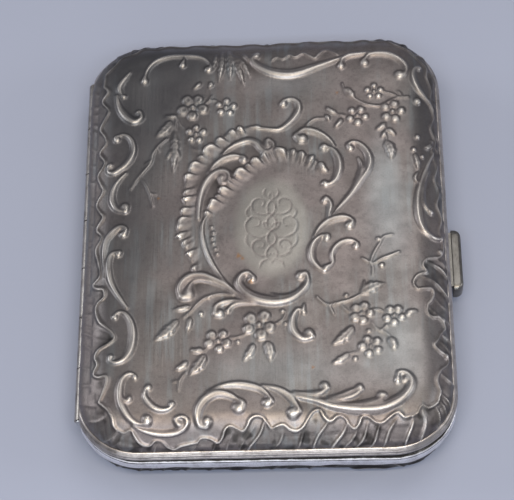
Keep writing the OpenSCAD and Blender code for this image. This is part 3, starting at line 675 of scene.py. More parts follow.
def profile(shell):
    """Radius beyond the core, height and outward normal along the shell's outside, from the top down."""
    flat = CORNER - shell["inset"] - shell["run"]
    t = np.linspace(0, np.pi / 2, 240)
    r = flat + shell["run"] * np.sin(t)
    z = shell["foot"] + shell["up"] * shell["rise"] * np.cos(t)
    normal_r = np.sin(t) / shell["run"]
    normal_z = shell["up"] * np.cos(t) / shell["rise"]
    size = np.hypot(normal_r, normal_z)
    along = flat + np.concatenate([[0], np.cumsum(np.hypot(np.diff(r), np.diff(z)))])
    wall = abs(shell["foot"] - shell["edge"])
    along = np.concatenate([[0], along, [along[-1] + wall]])
    r = np.concatenate([[0], r, [r[-1]]])
    z = np.concatenate([[z[0]], z, [shell["edge"]]])
    normal_r = np.concatenate([[0], normal_r / size, [1]])
    normal_z = np.concatenate([[shell["up"]], normal_z / size, [0]])
    return along, r, z, normal_r, normal_z


def ring_points(count, reach):
    """Flattened places of a square mesh of count rings, whose outermost ring is the rounded outline."""
    steps = np.arange(-count, count + 1)
    i, j = np.meshgrid(steps, steps)
    k = np.maximum(np.abs(i), np.abs(j))
    safe = np.maximum(k, 1)
    upright = np.abs(i) >= np.abs(j)
    tau = np.where(upright, j, i) / safe
    sign = np.sign(np.where(upright, i, j))
    radius = reach - CORE[0]
    quarter = radius * np.pi / 4
    core_along = np.where(upright, CORE[1], CORE[0])
    core_out = np.where(upright, CORE[0], CORE[1])
    place = np.abs(tau) * (core_along + quarter)
    turn = np.clip((place - core_along) / radius, 0, np.pi / 4)
    along = np.sign(tau) * (np.minimum(place, core_along) + radius * np.sin(turn))
    out = sign * (core_out + radius * np.cos(turn))
    share = k / count
    u = np.where(upright, out, along) * share
    v = np.where(upright, along, out) * share
    return u, v


def soft_step(value, low, high):
    share = np.clip((value - low) / (high - low), 0, 1)
    return share * share * (3 - 2 * share)


def on_shell(shell, u, v):
    """Place and outward normal on the shell's smooth outside, for flattened places."""
    core_u = np.clip(u, -CORE[0], CORE[0])
    core_v = np.clip(v, -CORE[1], CORE[1])
    du, dv = u - core_u, v - core_v
    far = np.hypot(du, dv)
    along, r, z, normal_r, normal_z = profile(shell)
    radius = np.interp(far, along, r)
    unit_u = du / np.maximum(far, 1e-9)
    unit_v = dv / np.maximum(far, 1e-9)
    crown = np.clip(1 - (u / (CORE[0] + along[1])) ** 2, 0, 1) ** 2
    crown *= np.clip(1 - (v / (CORE[1] + along[1])) ** 2, 0, 1) ** 2
    droop = shell["droop"] * soft_step(far, 0.5, 8.0) * (1 - soft_step(far, 8.5, along[-1] - 0.5))
    place = np.stack([
        core_u + unit_u * radius,
        core_v + unit_v * radius,
        np.interp(far, along, z) + shell["up"] * (shell["crown"] * crown - droop),
    ], -1)
    nr = np.interp(far, along, normal_r)
    nz = np.interp(far, along, normal_z)
    return place, np.stack([unit_u * nr, unit_v * nr, nz], -1), far, along[-1]


def new_mesh(name, points, faces, smooth=True):
    """Object from points in millimetres."""
    mesh = bpy.data.meshes.new(name)
    mesh.from_pydata((np.asarray(points, float) * MM).tolist(), [], [list(map(int, f)) for f in faces])
    mesh.validate()
    mesh.update()
    if smooth:
        mesh.polygons.foreach_set("use_smooth", [True] * len(mesh.polygons))
    made = bpy.data.objects.new(name, mesh)
    bpy.context.scene.collection.objects.link(made)
    return made


def lifted(points):
    """Turns points up about the hinge line, as the lid stands at rest."""
    a = math.radians(LID_LIFT)
    points = np.array(points, float)
    dx, dz = points[..., 0] - HINGE_X, points[..., 2] - SEAM
    points[..., 0] = HINGE_X + dx * math.cos(a) - dz * math.sin(a)
    points[..., 2] = SEAM + dx * math.sin(a) + dz * math.cos(a)
    return points


def set_attribute(obj, name, values):
    layer = obj.data.attributes.new(name, "FLOAT", "POINT")
    layer.data.foreach_set("value", np.asarray(values, np.float32))


DEEPEST = -0.58


def embossed_shell(name, shell, fields, rings, deep=1.0, mirror=False):
    """Closed embossed sheet: relief outside, smooth inside."""
    reach = CORE[0] + profile(shell)[0][-1]
    u, v = ring_points(rings, reach)
    place, normal, far, last = on_shell(shell, u, v)
    scale = (CORE[0] + 12.37) / reach
    su = (-u if mirror else u) * scale
    sv = v * scale
    height = fields["height"]
    h = sample(height, su, sv) * deep
    push = h * soft_step(last - far, 0.1, 1.2) + shell["ground"] * soft_step(last - far, 0.1, 4.5)
    push = np.maximum(push, DEEPEST)
    place = place + normal * push[..., None]
    if shell["up"] < 0:
        place[..., 2] = np.maximum(place[..., 2], 0)
    side = 2 * rings + 1
    index = np.arange(side * side).reshape(side, side)
    quads = np.stack([index[:-1, :-1], index[:-1, 1:], index[1:, 1:], index[1:, :-1]], -1).reshape(-1, 4)
    points = place.reshape(-1, 3)
    # outermost ring in order, then smooth rings down the inside
    rim = np.concatenate([index[0, :-1], index[:-1, -1], index[-1, :0:-1], index[:0:-1, 0]])
    outer = rim
    rim_u, rim_v = u.ravel()[rim], v.ravel()[rim]
    inner_points, faces = [], []
    count = len(points)
    for share in (1.0, 0.96, 0.9, 0.84, 0.78, 0.72, 0.66, 0.6, 0.5):
        core_u = np.clip(rim_u, -CORE[0], CORE[0])
        core_v = np.clip(rim_v, -CORE[1], CORE[1])
        at_u = core_u + (rim_u - core_u) * share
        at_v = core_v + (rim_v - core_v) * share
        spot, out, _, _ = on_shell(shell, at_u, at_v)
        inner_points.append(spot - out * SHEET)
    middle = np.array([[0, 0, inner_points[-1][0, 2]]])
    for level in range(len(inner_points)):
        inner = count + np.arange(len(rim)) + level * len(rim)
        faces.append(np.stack([outer, inner, np.roll(inner, -1), np.roll(outer, -1)], -1))
        outer = inner
    centre = count + len(inner_points) * len(rim)
    fan = np.stack([outer, np.full(len(rim), centre), np.roll(outer, -1)], -1)
    all_points = np.vstack([points, *inner_points, middle])
    all_faces = quads.tolist() + np.vstack(faces).tolist() + fan.tolist()
    if shell["up"] > 0:
        all_points = lifted(all_points)
    made = new_mesh(name, all_points, all_faces)
    recalc_outside(made)
    # how deep in a hollow or high on a crest each place is, and how high it stands
    marks = {
        "crest": height - blur(height, 0.55),
        "stand": height - blur(height, 1.4),
        "plain": fields["plain"],
        "tone": fields["tone"],
        "stain": fields["stain"],
    }
    extra = np.zeros(len(all_points) - len(points))
    for mark, field in marks.items():
        set_attribute(made, mark, np.concatenate([sample(field, su, sv).ravel(), extra]))
    soot_and_shade = sample(fields["soot_and_shade"], su, sv)
    # On the base, the wall that turns under below the band is painted near-black: painted shade there, added
    # to the black oxide of the border pockets.
    if mirror:
        soot_and_shade = np.maximum(soot_and_shade, 0.90 * soft_step(far, last - 7.5, last - 3.5))
    set_attribute(made, "soot_and_shade", np.concatenate([soot_and_shade.ravel(), extra]))
    set_attribute(made, "inside", np.concatenate([np.zeros(len(points)), extra + 1]))
    return made


def recalc_outside(obj):
    mesh = bmesh.new()
    mesh.from_mesh(obj.data)
    bmesh.ops.recalc_face_normals(mesh, faces=mesh.faces)
    mesh.to_mesh(obj.data)
    mesh.free()


def take_modifiers(obj):
    """Bakes the object's modifiers into its mesh."""
    graph = bpy.context.evaluated_depsgraph_get()
    mesh = bpy.data.meshes.new_from_object(obj.evaluated_get(graph))
    obj.modifiers.clear()
    obj.data = mesh


def cut_with(obj, tool):
    """Cut one mesh out of another, and take the tool away."""
    cut = obj.modifiers.new("cut", "BOOLEAN")
    cut.operation = "DIFFERENCE"
    cut.solver = "EXACT"
    cut.object = tool
    take_modifiers(obj)
    bpy.data.objects.remove(tool)


def cut_boxes(obj, boxes):
    """Cuts away boxes, given by their lowest and highest corners in millimetres."""
    for low, high in boxes:
        tool = new_box("cutter", low, high)
        cut_with(obj, tool)


def new_box(name, low, high):
    corners = [(x, y, z) for z in (low[2], high[2]) for y in (low[1], high[1]) for x in (low[0], high[0])]
    faces = [(0, 2, 3, 1), (4, 5, 7, 6), (0, 1, 5, 4), (2, 6, 7, 3), (0, 4, 6, 2), (1, 3, 7, 5)]
    return new_mesh(name, corners, faces, smooth=False)


def sharp_by_angle(obj, degrees):
    obj.data.polygons.foreach_set("use_smooth", [True] * len(obj.data.polygons))
    obj.data.set_sharp_from_angle(angle=math.radians(degrees))


# ---------------------------------------------------------------- rims

def stations(spacing):
    """Core points and outward directions evenly spaced round the case, and the distance round it."""
    core, out = [], []
    for k, (sx, sy) in enumerate([(1, 1), (-1, 1), (-1, -1), (1, -1)]):
        corner = np.array([sx, sy]) * CORE
        turns = int(CORNER * np.pi / 2 / spacing)
        angles = np.pi / 2 * (k + np.arange(turns) / turns)
        core += [corner] * turns
        out += [(math.cos(a), math.sin(a)) for a in angles]
        following = np.array([[-1, 1], [-1, -1], [1, -1], [1, 1]][k]) * CORE
        side = int(np.hypot(*(following - corner)) / spacing)
        share = np.arange(side)[:, None] / side
        core += list(corner + (following - corner) * share)
        end = np.pi / 2 * (k + 1)
        out += [(math.cos(end), math.sin(end))] * side
    core, out = np.array(core), np.array(out)
    spots = core + out * CORNER
    steps = np.hypot(*np.diff(spots, axis=0, append=spots[:1]).T)
    return core, out, np.concatenate([[0], np.cumsum(steps)[:-1]])


def swept_band(name, section, waver, lift):
    """Closed band round the case from a closed section of (inset, z) points, each moved a little by waver."""
    core, out, along = stations(0.4)
    points = []
    dirt_and_shade = np.repeat([row[2] for row in section], len(core))
    for row, (inset, z, _) in enumerate(section):
        d_inset, d_z = waver(row, along)
        spots = core + out * (CORNER - inset - d_inset)[:, None]
        points.append(np.column_stack([spots, z + d_z + 0 * along]))
    points = np.vstack(points)
    if lift:
        points = lifted(points)
    n, rows = len(core), len(section)
    j = np.arange(n)
    faces = []
    for row in range(rows):
        after = (row + 1) % rows
        faces.append(np.stack([row * n + j, row * n + (j + 1) % n,
                               after * n + (j + 1) % n, after * n + j], -1))
    made = new_mesh(name, points, np.vstack(faces).tolist())
    recalc_outside(made)
    set_attribute(made, "dirt_and_shade", dirt_and_shade)
    return made


def ripple(along, *waves):
    """Sum of slow sine waves: each is (size, millimetres per wave, start)."""
    return sum(size * np.sin(2 * np.pi * along / length + start) for size, length, start in waves)


PERIMETER = 4 * (CORE[0] + CORE[1]) + 2 * np.pi * CORNER


def hinge_cuts():
    room = 1.15
    half = 31.7
    return [
        ((-HALF_W - 1, -half, SEAM - room), (HINGE_X + room, half, SEAM + room)),
        ((-HALF_W - 1, -32.6, 0), (HINGE_X, 32.6, 12.1)),
    ]


def make_lid_rim():
    # each is (inset from the case's outline, height, how dark: dirt in the grooves, and painted shade along
    # the lower edge at the seam)
    section = [
        (0.62, 6.64, 1), (0.34, 6.70, 1), (0.14, 6.84, 1), (0.04, 6.96, 0.2), (0.0, 7.08, 0), (0.03, 7.25, 0),
        (0.09, 7.40, 0.3), (0.19, 7.47, 1), (0.19, 7.53, 1), (0.10, 7.60, 0.2), (0.08, 7.72, 0),
        (0.12, 7.86, 0),
        (0.21, 7.98, 0.1), (0.31, 8.06, 0.5), (0.38, 8.14, 0.4), (0.46, 8.26, 0), (0.58, 8.35, 0.1),
        (0.75, 8.38, 0.6), (1.35, 8.30, 1), (1.45, 7.90, 1), (1.45, 6.62, 1),
    ]

    def waver(row, along):
        if row > 16:
            return 0 * along, 0
        dents = ripple(along, (0.025, PERIMETER / 7, 0.4), (0.018, PERIMETER / 23, 2.0))
        return np.maximum(dents, -0.02) + 0.02, 0

    band = swept_band("lid_rim_band", section, waver, lift=True)
    cut_boxes(band, hinge_cuts())
    sharp_by_angle(band, 50)
    return band


def make_base_rim():
    # each is (inset from the case's outline, height, how dark: dirt in the groove, and painted shade along
    # the lower edge where the band meets the shell and along the top edge at the seam)
    section = [
        (0.5, 3.72, 1), (0.44, 3.74, 1), (0.38, 3.95, 1), (0.34, 4.10, 1), (0.14, 4.20, 1), (0.03, 4.32, 0.2),
        (0.0, 4.60, 0), (0.01, 5.20, 0), (0.04, 5.62, 0.1), (0.12, 5.78, 0.9), (0.17, 5.86, 1),
        (0.13, 5.94, 0.8),
        (0.07, 6.02, 0), (0.06, 6.12, 0), (0.12, 6.20, 0.4), (0.26, 6.28, 1), (0.40, 6.34, 1), (0.6, 6.40, 1),
        (1.2, 6.58, 1), (1.2, 5.3, 1), (0.5, 5.3, 1),
    ]

    def waver(row, along):
        if row > 16 or row == 0:
            return 0 * along, 0
        dents = ripple(along, (0.02, PERIMETER / 6, 1.1), (0.016, PERIMETER / 19, 0.3))
        lower = ripple(
            along, (0.13, PERIMETER / 31, 0.2), (0.08, PERIMETER / 53, 1.4), (0.07, PERIMETER / 12, 2))
        near_edge = {2: 0.4, 3: 1.0, 4: 1.0, 5: 0.9, 6: 0.5}.get(row, 0.0)
        return np.maximum(dents, -0.02) + 0.02, lower * near_edge

    band = swept_band("base_rim_band", section, waver, lift=False)
    cuts = hinge_cuts()
    cuts.append(((HALF_W - 0.5, THUMB_Y - 5.65, 0), (HALF_W + 1, THUMB_Y + 5.65, SEAM + 1)))
    cuts.append(((HALF_W - 4, THUMB_Y - 5.05, 5.3), (HALF_W + 1, THUMB_Y + 5.05, 6.4)))
    cut_boxes(band, cuts)
    sharp_by_angle(band, 50)
    return band


# ---------------------------------------------------------------- catch

def lofted(name, rings):
    """Closed solid through rings of equal length, capped at both ends."""
    n = len(rings[0])
    j = np.arange(n)
    faces = [[n - 1 - k for k in range(n)]]
    for k in range(len(rings) - 1):
        near, far = k * n, (k + 1) * n
        faces += np.stack([near + j, near + (j + 1) % n, far + (j + 1) % n, far + j], -1).tolist()
    faces.append([(len(rings) - 1) * n + k for k in range(n)])
    made = new_mesh(name, np.vstack(rings), faces)
    recalc_outside(made)
    return made


def rounded_section(low, high, radii, steps=7):
    """Points round a rectangle whose four corners have their own radii, from low-low, clockwise."""
    corners = [(low[0], low[1], 1, 1, 180), (high[0], low[1], -1, 1, 270),
               (high[0], high[1], -1, -1, 0), (low[0], high[1], 1, -1, 90)]
    out = []
    for (x, y, sx, sy, start), r in zip(corners, radii):
        for k in range(steps):
            a = math.radians(start + 90 * k / (steps - 1))
            out.append((x + sx * r + r * math.cos(a), y + sy * r + r * math.sin(a)))
    return np.array(out)


def make_thumb_piece():
    low, high = node_box("thumb_piece")
    x_in, x_out = HALF_W + 0.5, high[0]
    rings = []
    end = 1.25
    steps = 9
    lead = [math.sin(math.pi / 2 * k / (steps - 1)) for k in range(steps)]
    places = [(low[1] + end * (1 - math.cos(math.pi / 2 * k / (steps - 1))), lead[k]) for k in range(steps)]
    places += [(low[1] + end + (high[1] - low[1] - 2 * end) * t, 1.0) for t in (0.25, 0.5, 0.75)]
    places += [(low[1] + high[1] - y, s) for y, s in places[:steps][::-1]]
    for y, s in places:
        s = max(s, 0.06)
        reach = x_in + (x_out - x_in) * (0.35 + 0.65 * s)
        trim = 0.55 * (1 - s)
        box_low, box_high = (x_in, low[2] + trim), (reach, high[2] - trim)
        r_out = min(0.62, 0.45 * (reach - x_in))
        section = rounded_section(box_low, box_high, (0.12, r_out, r_out, 0.12))
        rings.append(np.column_stack([section[:, 0], np.full(len(section), y), section[:, 1]]))
    bar = lofted("thumb_bar", rings)
    stem = new_box("stem", (low[0], THUMB_Y - 4.9, 5.45), (x_in + 0.1, THUMB_Y + 4.9, 6.25))
    join(bar, [stem])
    sharp_by_angle(bar, 45)
    return bar


def join(obj, others):
    """Adds the meshes of other objects to obj's."""
    mesh = bmesh.new()
    mesh.from_mesh(obj.data)
    for other in others:
        mesh.from_mesh(other.data)
        bpy.data.objects.remove(other)
    mesh.to_mesh(obj.data)
    mesh.free()


def make_catch_spring():
    """Flat spring with a rounded end, rivet holes left to the rivets' heads, and the hook with its nib."""
    low, high = node_box("catch_spring")
    x0, x1 = low[0], low[0] + 0.35
    strip_low, strip_high = 3.2, 6.3
    points, faces = [], []
    steps = 60
    for k in range(steps + 1):
        y = low[1] + (high[1] - low[1]) * k / steps
        near_end = min(y - low[1], high[1] - y)
        cut = 0.5 * (1 - math.sqrt(max(0.0, 1 - (1 - min(near_end / 0.5, 1.0)) ** 2)))
        under, over = strip_low + cut, strip_high - cut
        points += [(x0, y, under), (x1, y, under), (x1, y, over), (x0, y, over)]
    for k in range(steps):
        for c in range(4):
            d = (c + 1) % 4
            faces.append((4 * k + c, 4 * k + d, 4 * k + 4 + d, 4 * k + 4 + c))
    faces += [(3, 2, 1, 0), tuple(4 * steps + c for c in range(4))]
    strip = new_mesh("catch_leaf_spring", points, faces, smooth=False)
    # the hook's outline in X and Z, swept along the thumb-piece
    hook = [(x0, 6.0), (x1, 6.0), (x1, 7.58), (27.5, 7.58), (27.6, 7.64), (27.52, 7.72), (26.95, high[2]),
            (x0 + 0.12, high[2]), (x0, high[2] - 0.12)]
    rings = [np.array([(x, y, z) for x, z in hook]) for y in (THUMB_Y - 2.2, THUMB_Y + 2.2)]
    join(strip, [lofted("hook", rings)])
    recalc_outside(strip)
    sharp_by_angle(strip, 30)
    return strip


# ---------------------------------------------------------------- linings, leaves and needles

CLOTH_SCALE = 20.0       # the cloth solver is happier with pieces about a metre across
CLOTH_FRAMES = 22


def panel_mesh(name, inset, z_flat, z_crown, rings):
    """Thin closed pad with rounded corners: a flat back at z_flat and a face that crowns to z_crown."""
    reach = CORE[0] + CORNER - inset
    u, v = ring_points(rings, reach)
    steps = np.arange(-rings, rings + 1)
    i, j = np.meshgrid(steps, steps)
    edge = 1 - np.maximum(np.abs(i), np.abs(j)) / rings
    swell = np.sqrt(1 - (1 - np.clip(edge / 0.16, 0, 1)) ** 2)
    face = z_flat + (z_crown - z_flat) * (0.25 + 0.75 * swell)
    side = 2 * rings + 1
    index = np.arange(side * side).reshape(side, side)
    quads = np.stack([index[:-1, :-1], index[:-1, 1:], index[1:, 1:], index[1:, :-1]], -1).reshape(-1, 4)
    rim = np.concatenate([index[0, :-1], index[:-1, -1], index[-1, :0:-1], index[:0:-1, 0]])
    front = np.stack([u, v, face], -1).reshape(-1, 3)
    count = len(front)
    back = front[rim] * (1, 1, 0) + (0, 0, z_flat)
    ring = count + np.arange(len(rim))
    wall = np.stack([rim, ring, np.roll(ring, -1), np.roll(rim, -1)], -1)
    points = np.vstack([front, back])
    made = new_mesh(name, points, quads.tolist() + wall.tolist() + [ring.tolist()])
    recalc_outside(made)
    return made, count, rim


def puckered_panel(name, inset, z_flat, z_crown, flatten, growth):
    """Silk pad whose face is cloth with a little too much stuff, held at its edge: it puckers there."""
    made, count, rim = panel_mesh(name, inset, z_flat, z_crown, 44)
    rest = np.array([v.co for v in made.data.vertices])
    made.data.transform(Matrix.Scale(CLOTH_SCALE, 4))
    held = made.vertex_groups.new(name="held")
    held.add([int(k) for k in rim] + list(range(count, len(rest))), 1.0, "REPLACE")
    cloth = made.modifiers.new("cloth", "CLOTH")
    cloth.settings.vertex_group_mass = "held"
    cloth.settings.quality = 6
    cloth.settings.mass = 0.12
    cloth.settings.shrink_min = -growth
    cloth.settings.bending_stiffness = 0.6
    cloth.settings.use_pressure = True
    cloth.settings.uniform_pressure_force = 1.2
    cloth.settings.effector_weights.gravity = 0
    cloth.point_cache.frame_end = CLOTH_FRAMES
    for step in range(1, CLOTH_FRAMES + 1):
        bpy.context.scene.frame_set(step)
    take_modifiers(made)
    bpy.context.scene.frame_set(1)
    made.data.transform(Matrix.Scale(1 / CLOTH_SCALE, 4))
    now = np.array([v.co for v in made.data.vertices]) / MM
    up = 1 if z_crown > z_flat else -1
    thick = abs(z_crown - z_flat)
    depth = up * (now[:, 2] - z_flat)
    face = np.arange(len(now)) < count
    face[rim] = False
    if depth[face].max() > thick:
        low = thick * 0.45
        swollen = depth[face]
        top = max(np.percentile(swollen, 99.7), thick)
        depth[face] = np.where(swollen > low, low + (swollen - low) * (thick - low) / (top - low), swollen)
    least = np.minimum(0.9 * up * (rest[:, 2] / MM - z_flat), 0.55 * thick)
    depth[face] = np.clip(depth[face], least[face], thick - 0.01)
    for x_low, x_high, y_low, y_high, most in flatten:
        beyond = np.maximum(np.maximum(x_low - now[:, 0], now[:, 0] - x_high),
                            np.maximum(y_low - now[:, 1], now[:, 1] - y_high))
        cap = most + 0.35 * np.clip(beyond, 0, None)
        depth[face] = np.minimum(depth[face], cap[face])
    now[:, 2] = z_flat + up * depth
    if up < 0:
        now = lifted(now)
    made.data.vertices.foreach_set("co", (now * MM).ravel())
    made.data.update()
    made.data.polygons.foreach_set("use_smooth", [True] * len(made.data.polygons))
    return made


def make_ribbon(name, node):
    """Packet ribbon: a thin strip that bows a little between its stitched-down ends and middle."""
    low, high = node_box(node)
    wide, thick = high[1] - low[1], 0.09
    along = np.linspace(low[0], high[0], 150)
    across = np.linspace(0, 1, 13)
    held = np.minimum.reduce([np.abs(along - low[0]), np.abs(along - high[0]), np.abs(along)])
    bow = (1 - np.exp(-((held / 3.0) ** 2))) * 0.7
    points = []
    for lift in (0.0, thick):
        for x, b, h in zip(along, bow, held):
            pinch = 0.35 * math.exp(-((h / 1.4) ** 2))
            y = low[1] + wide * (pinch / 2 + across * (1 - pinch))
            wave = 0.03 * np.sin(across * 9 + x * 0.35) * b
            gather = 0.05 * math.exp(-((h / 1.8) ** 2)) * np.cos(across * 2 * np.pi * 5)
            z = low[2] + 0.02 + (high[2] - low[2] - thick - 0.05) * b + wave + np.maximum(gather, 0)
            z = np.clip(z, low[2] + 0.01, high[2] - thick - 0.005) + lift
            points.append(np.column_stack([np.full(13, x), y, z]))
    n, m = len(along), len(across)
    index = np.arange(2 * n * m).reshape(2, n, m)
    faces = []
    for side in (0, 1):
        a = index[side]
        faces.append(np.stack([a[:-1, :-1], a[:-1, 1:], a[1:, 1:], a[1:, :-1]], -1).reshape(-1, 4))
    edge = np.concatenate([index[:, 0, :-1], index[:, :-1, -1], index[:, -1, :0:-1], index[:, :0:-1, 0]], 1)
    after = np.roll(edge, -1, axis=1)
    faces.append(np.stack([edge[0], edge[1], after[1], after[0]], -1))
    made = new_mesh(name, np.vstack(points), np.vstack(faces).tolist())
    recalc_outside(made)
    sharp_by_angle(made, 50)
    return made


def make_spine():
    """Silk-bound strip: rounded top, and a wrapped surface that ripples between the stitches."""
    low, high = node_box("leaf_spine")
    rings = []
    for y in np.linspace(low[1], high[1], 140):
        near = min(y - low[1], high[1] - y)
        round_end = 0.25 * (1 - math.sqrt(1 - (1 - min(near / 0.3, 1)) ** 2)) if near < 0.3 else 0.0
        pull = 0.045 * (0.5 + 0.5 * math.cos(2 * math.pi * y / 4.0))
        box_low = (low[0] + round_end + pull, low[2])
        box_high = (high[0] - round_end - pull, high[2] - round_end)
        section = rounded_section(box_low, box_high, (0.06, 0.06, 0.34, 0.34))
        rings.append(np.column_stack([section[:, 0], np.full(len(section), y), section[:, 1]]))
    made = lofted("leaf_spine_binding", rings)
    sharp_by_angle(made, 60)
    return made


def make_stitches():
    """Short arched threads along the top of the spine."""
    low, high = node_box("spine_stitches")
    count, pitch = 12, 4.0
    length = high[1] - low[1] - (count - 1) * pitch
    radius = (high[2] - low[2]) / 2
    x = (low[0] + high[0]) / 2
    made = []
    for k in range(count):
        middle = low[1] + length / 2 + k * pitch
        rings = []
        for t in np.linspace(-1, 1, 17):
            r = radius * (0.75 + 0.25 * math.sqrt(max(0.0, 1 - t**4)))
            z = low[2] + radius - 0.16 * t**4
            a = np.linspace(0, 2 * np.pi, 12, endpoint=False)
            strand = r * (1 + 0.10 * np.cos(2 * a + 9 * t))
            shift = 0.12 * t
            rings.append(np.column_stack([
                x + shift + strand * np.cos(a),
                np.full(12, middle + t * length / 2),
                z + strand * np.sin(a),
            ]))
        made.append(lofted(f"stitch_{k}", rings))
    join(made[0], made[1:])
    made[0].name = "spine_thread"
    return made[0]


LEAF_TEETH = 0.55
LEAF_PITCH = 1.85
# Where the felt passes over each needle, along X from the fold
BRIDGES = (10.6, 21.5, 32.5)


def pinked(x, y, long, half, corner=3.0):
    """Moves points of a square-cornered leaf to rounded corners and a toothed edge."""
    core_x = np.minimum(x, long - corner)
    core_y = np.clip(y, corner - half, half - corner)
    dx, dy = x - core_x, y - core_y
    square = np.maximum(np.abs(dx), np.abs(dy))
    length = np.hypot(dx, dy)
    scale = np.where(length > 0, square / np.maximum(length, 1e-9), 0)
    dx, dy = dx * scale, dy * scale
    angle = np.arctan2(np.abs(dy), dx)
    place = np.abs(core_y) + corner * angle + (long - corner - core_x)
    tooth = np.abs(((place / LEAF_PITCH) % 1.0) - 0.5) * 2
    share = 1 - LEAF_TEETH / corner * tooth * (square / corner) ** 2
    return core_x + dx * share, core_y + dy * share


def make_leaf(name, node, bears, needle_ys, attach):
    """Pinked felt leaf. bears is 1 where the needles are on top and -1 where they are underneath."""
    low, high = node_box(node)
    fold = joints["lower_leaf_turn"]["pos_m"][0] / MM
    long, half = high[0] - fold, high[1]
    z_low, z_high = low[2], high[2]
    columns, rows = 165, 175
    x, y = np.meshgrid(np.linspace(0, long, columns), np.linspace(-half, half, rows))
    px, py = pinked(x, y, long, half)
    sag = 0.05 * np.sin(px * 0.21 + py * 0.09) + 0.04 * np.sin(py * 0.27 - 1.0 + px * 0.05)
    sag = sag * np.clip(px / 10, 0, 1)
    pucker = np.zeros_like(px)
    for needle_y in needle_ys:
        for bridge in BRIDGES:
            over = np.exp(-(((py - needle_y) / 0.62) ** 4)) * np.exp(-(((px - bridge) / 1.5) ** 4))
            pull = np.exp(-(((py - needle_y) / 1.3) ** 2)) * np.exp(-(((px - bridge) / 2.6) ** 2))
            pucker += 0.70 * over - 0.06 * pull * (1 - over)
    soft = 0.05 * np.clip(np.minimum(half - np.abs(y), long - x) / 0.6, 0, 1)
    z_a = z_low + 0.05 - soft + sag
    z_b = z_high - 0.05 + soft + sag
    if bears > 0:
        z_b = z_b + pucker
    else:
        z_a = z_a - pucker
    # the felt narrows towards the strip that it is sewn to
    reach = attach["x"] - fold
    strip = np.linspace(reach, 0, 7)[:-1]
    sx, sy = np.meshgrid(strip, np.linspace(-half, half, rows))
    share = (sx / reach) ** 1.5
    middle = (z_low + z_high) / 2 + share * (attach["z"] - (z_low + z_high) / 2)
    room = (z_high - z_low) / 2 * (1 - 0.45 * share)
    px, py = np.hstack([sx, px]), np.hstack([sy * 0.995, py])
    z_a, z_b = np.hstack([middle - room, z_a]), np.hstack([middle + room, z_b])
    n, m = px.shape
    index = np.arange(2 * n * m).reshape(2, n, m)
    points = np.vstack([np.stack([px + fold, py, z], -1).reshape(-1, 3) for z in (z_a, z_b)])
    faces = []
    for side in (0, 1):
        a = index[side]
        faces.append(np.stack([a[:-1, :-1], a[:-1, 1:], a[1:, 1:], a[1:, :-1]], -1).reshape(-1, 4))
    edge = np.concatenate([index[:, 0, :-1], index[:, :-1, -1], index[:, -1, :0:-1], index[:, :0:-1, 0]], 1)
    after = np.roll(edge, -1, axis=1)
    faces.append(np.stack([edge[0], edge[1], after[1], after[0]], -1))
    made = new_mesh(name, points, np.vstack(faces).tolist())
    recalc_outside(made)
    sharp_by_angle(made, 60)
    border = np.concatenate([
        np.column_stack([px[0], py[0]]), np.column_stack([px[:, -1], py[:, -1]]),
        np.column_stack([px[-1], py[-1]])[::-1], np.column_stack([px[:, 0], py[:, 0]])[::-1]])
    cx, cy = border.T
    area = abs(np.dot(cx, np.roll(cy, -1)) - np.dot(cy, np.roll(cx, -1))) / 2
    return made, (long - reach, 2 * half), area


def needle_ys(node, pitch=8.0):
    low, high = node_box(node)
    count = int(round((high[1] - low[1] - 0.6) / pitch)) + 1
    return [pitch * (k - (count - 1) / 2) for k in range(count)]


# The needle's eye, in millimetres from its blunt end
EYE_FROM, EYE_TO, EYE_HALF = 0.62, 1.75, 0.11


def eye_end(x, start):
    """Half circle of points that closes the eye at one end."""
    turns = np.linspace(start, start + np.pi, 7)
    return [(x + EYE_HALF * math.cos(b), EYE_HALF * math.sin(b)) for b in turns]


def make_needles(name, node, ys):
    """Sewing needles with a drilled eye at one end and a long taper to the point."""
    low, high = node_box(node)
    length, z = high[0] - low[0], (low[2] + high[2]) / 2
    profile_points = [
        (0.0, 0.03, 0.03), (0.05, 0.14, 0.10), (0.18, 0.24, 0.17), (0.5, 0.30, 0.20), (1.6, 0.30, 0.20),
        (2.4, 0.29, 0.25), (3.4, 0.295, 0.295), (length * 0.6, 0.295, 0.295), (length - 8, 0.27, 0.27),
        (length - 4.5, 0.20, 0.20), (length - 2, 0.11, 0.11), (length - 0.5, 0.04, 0.04),
        (length, 0.012, 0.012),
    ]
    rings = []
    a = np.linspace(0, 2 * np.pi, 16, endpoint=False)
    for x, wide, tall in profile_points:
        rings.append(np.column_stack([np.full(16, x), wide * np.cos(a), tall * np.sin(a)]))
    needle = lofted("needle", rings)
    slot = []
    for z_slot in (-0.5, 0.5):
        ends = eye_end(EYE_FROM, np.pi / 2) + eye_end(EYE_TO, -np.pi / 2)
        slot.append(np.array([(x, y, z_slot) for x, y in ends]))
    tool = lofted("eye", slot)
    cut_with(needle, tool)
    sharp_by_angle(needle, 40)
    copies = []
    for y in ys:
        copy = needle.copy()
        copy.data = needle.data.copy()
        bpy.context.scene.collection.objects.link(copy)
        copy.data.transform(Matrix.Translation(Vector((low[0], y, z)) * MM))
        copies.append(copy)
    bpy.data.objects.remove(needle)
    join(copies[0], copies[1:])
    copies[0].name = name
    return copies[0]


# ---------------------------------------------------------------- materials

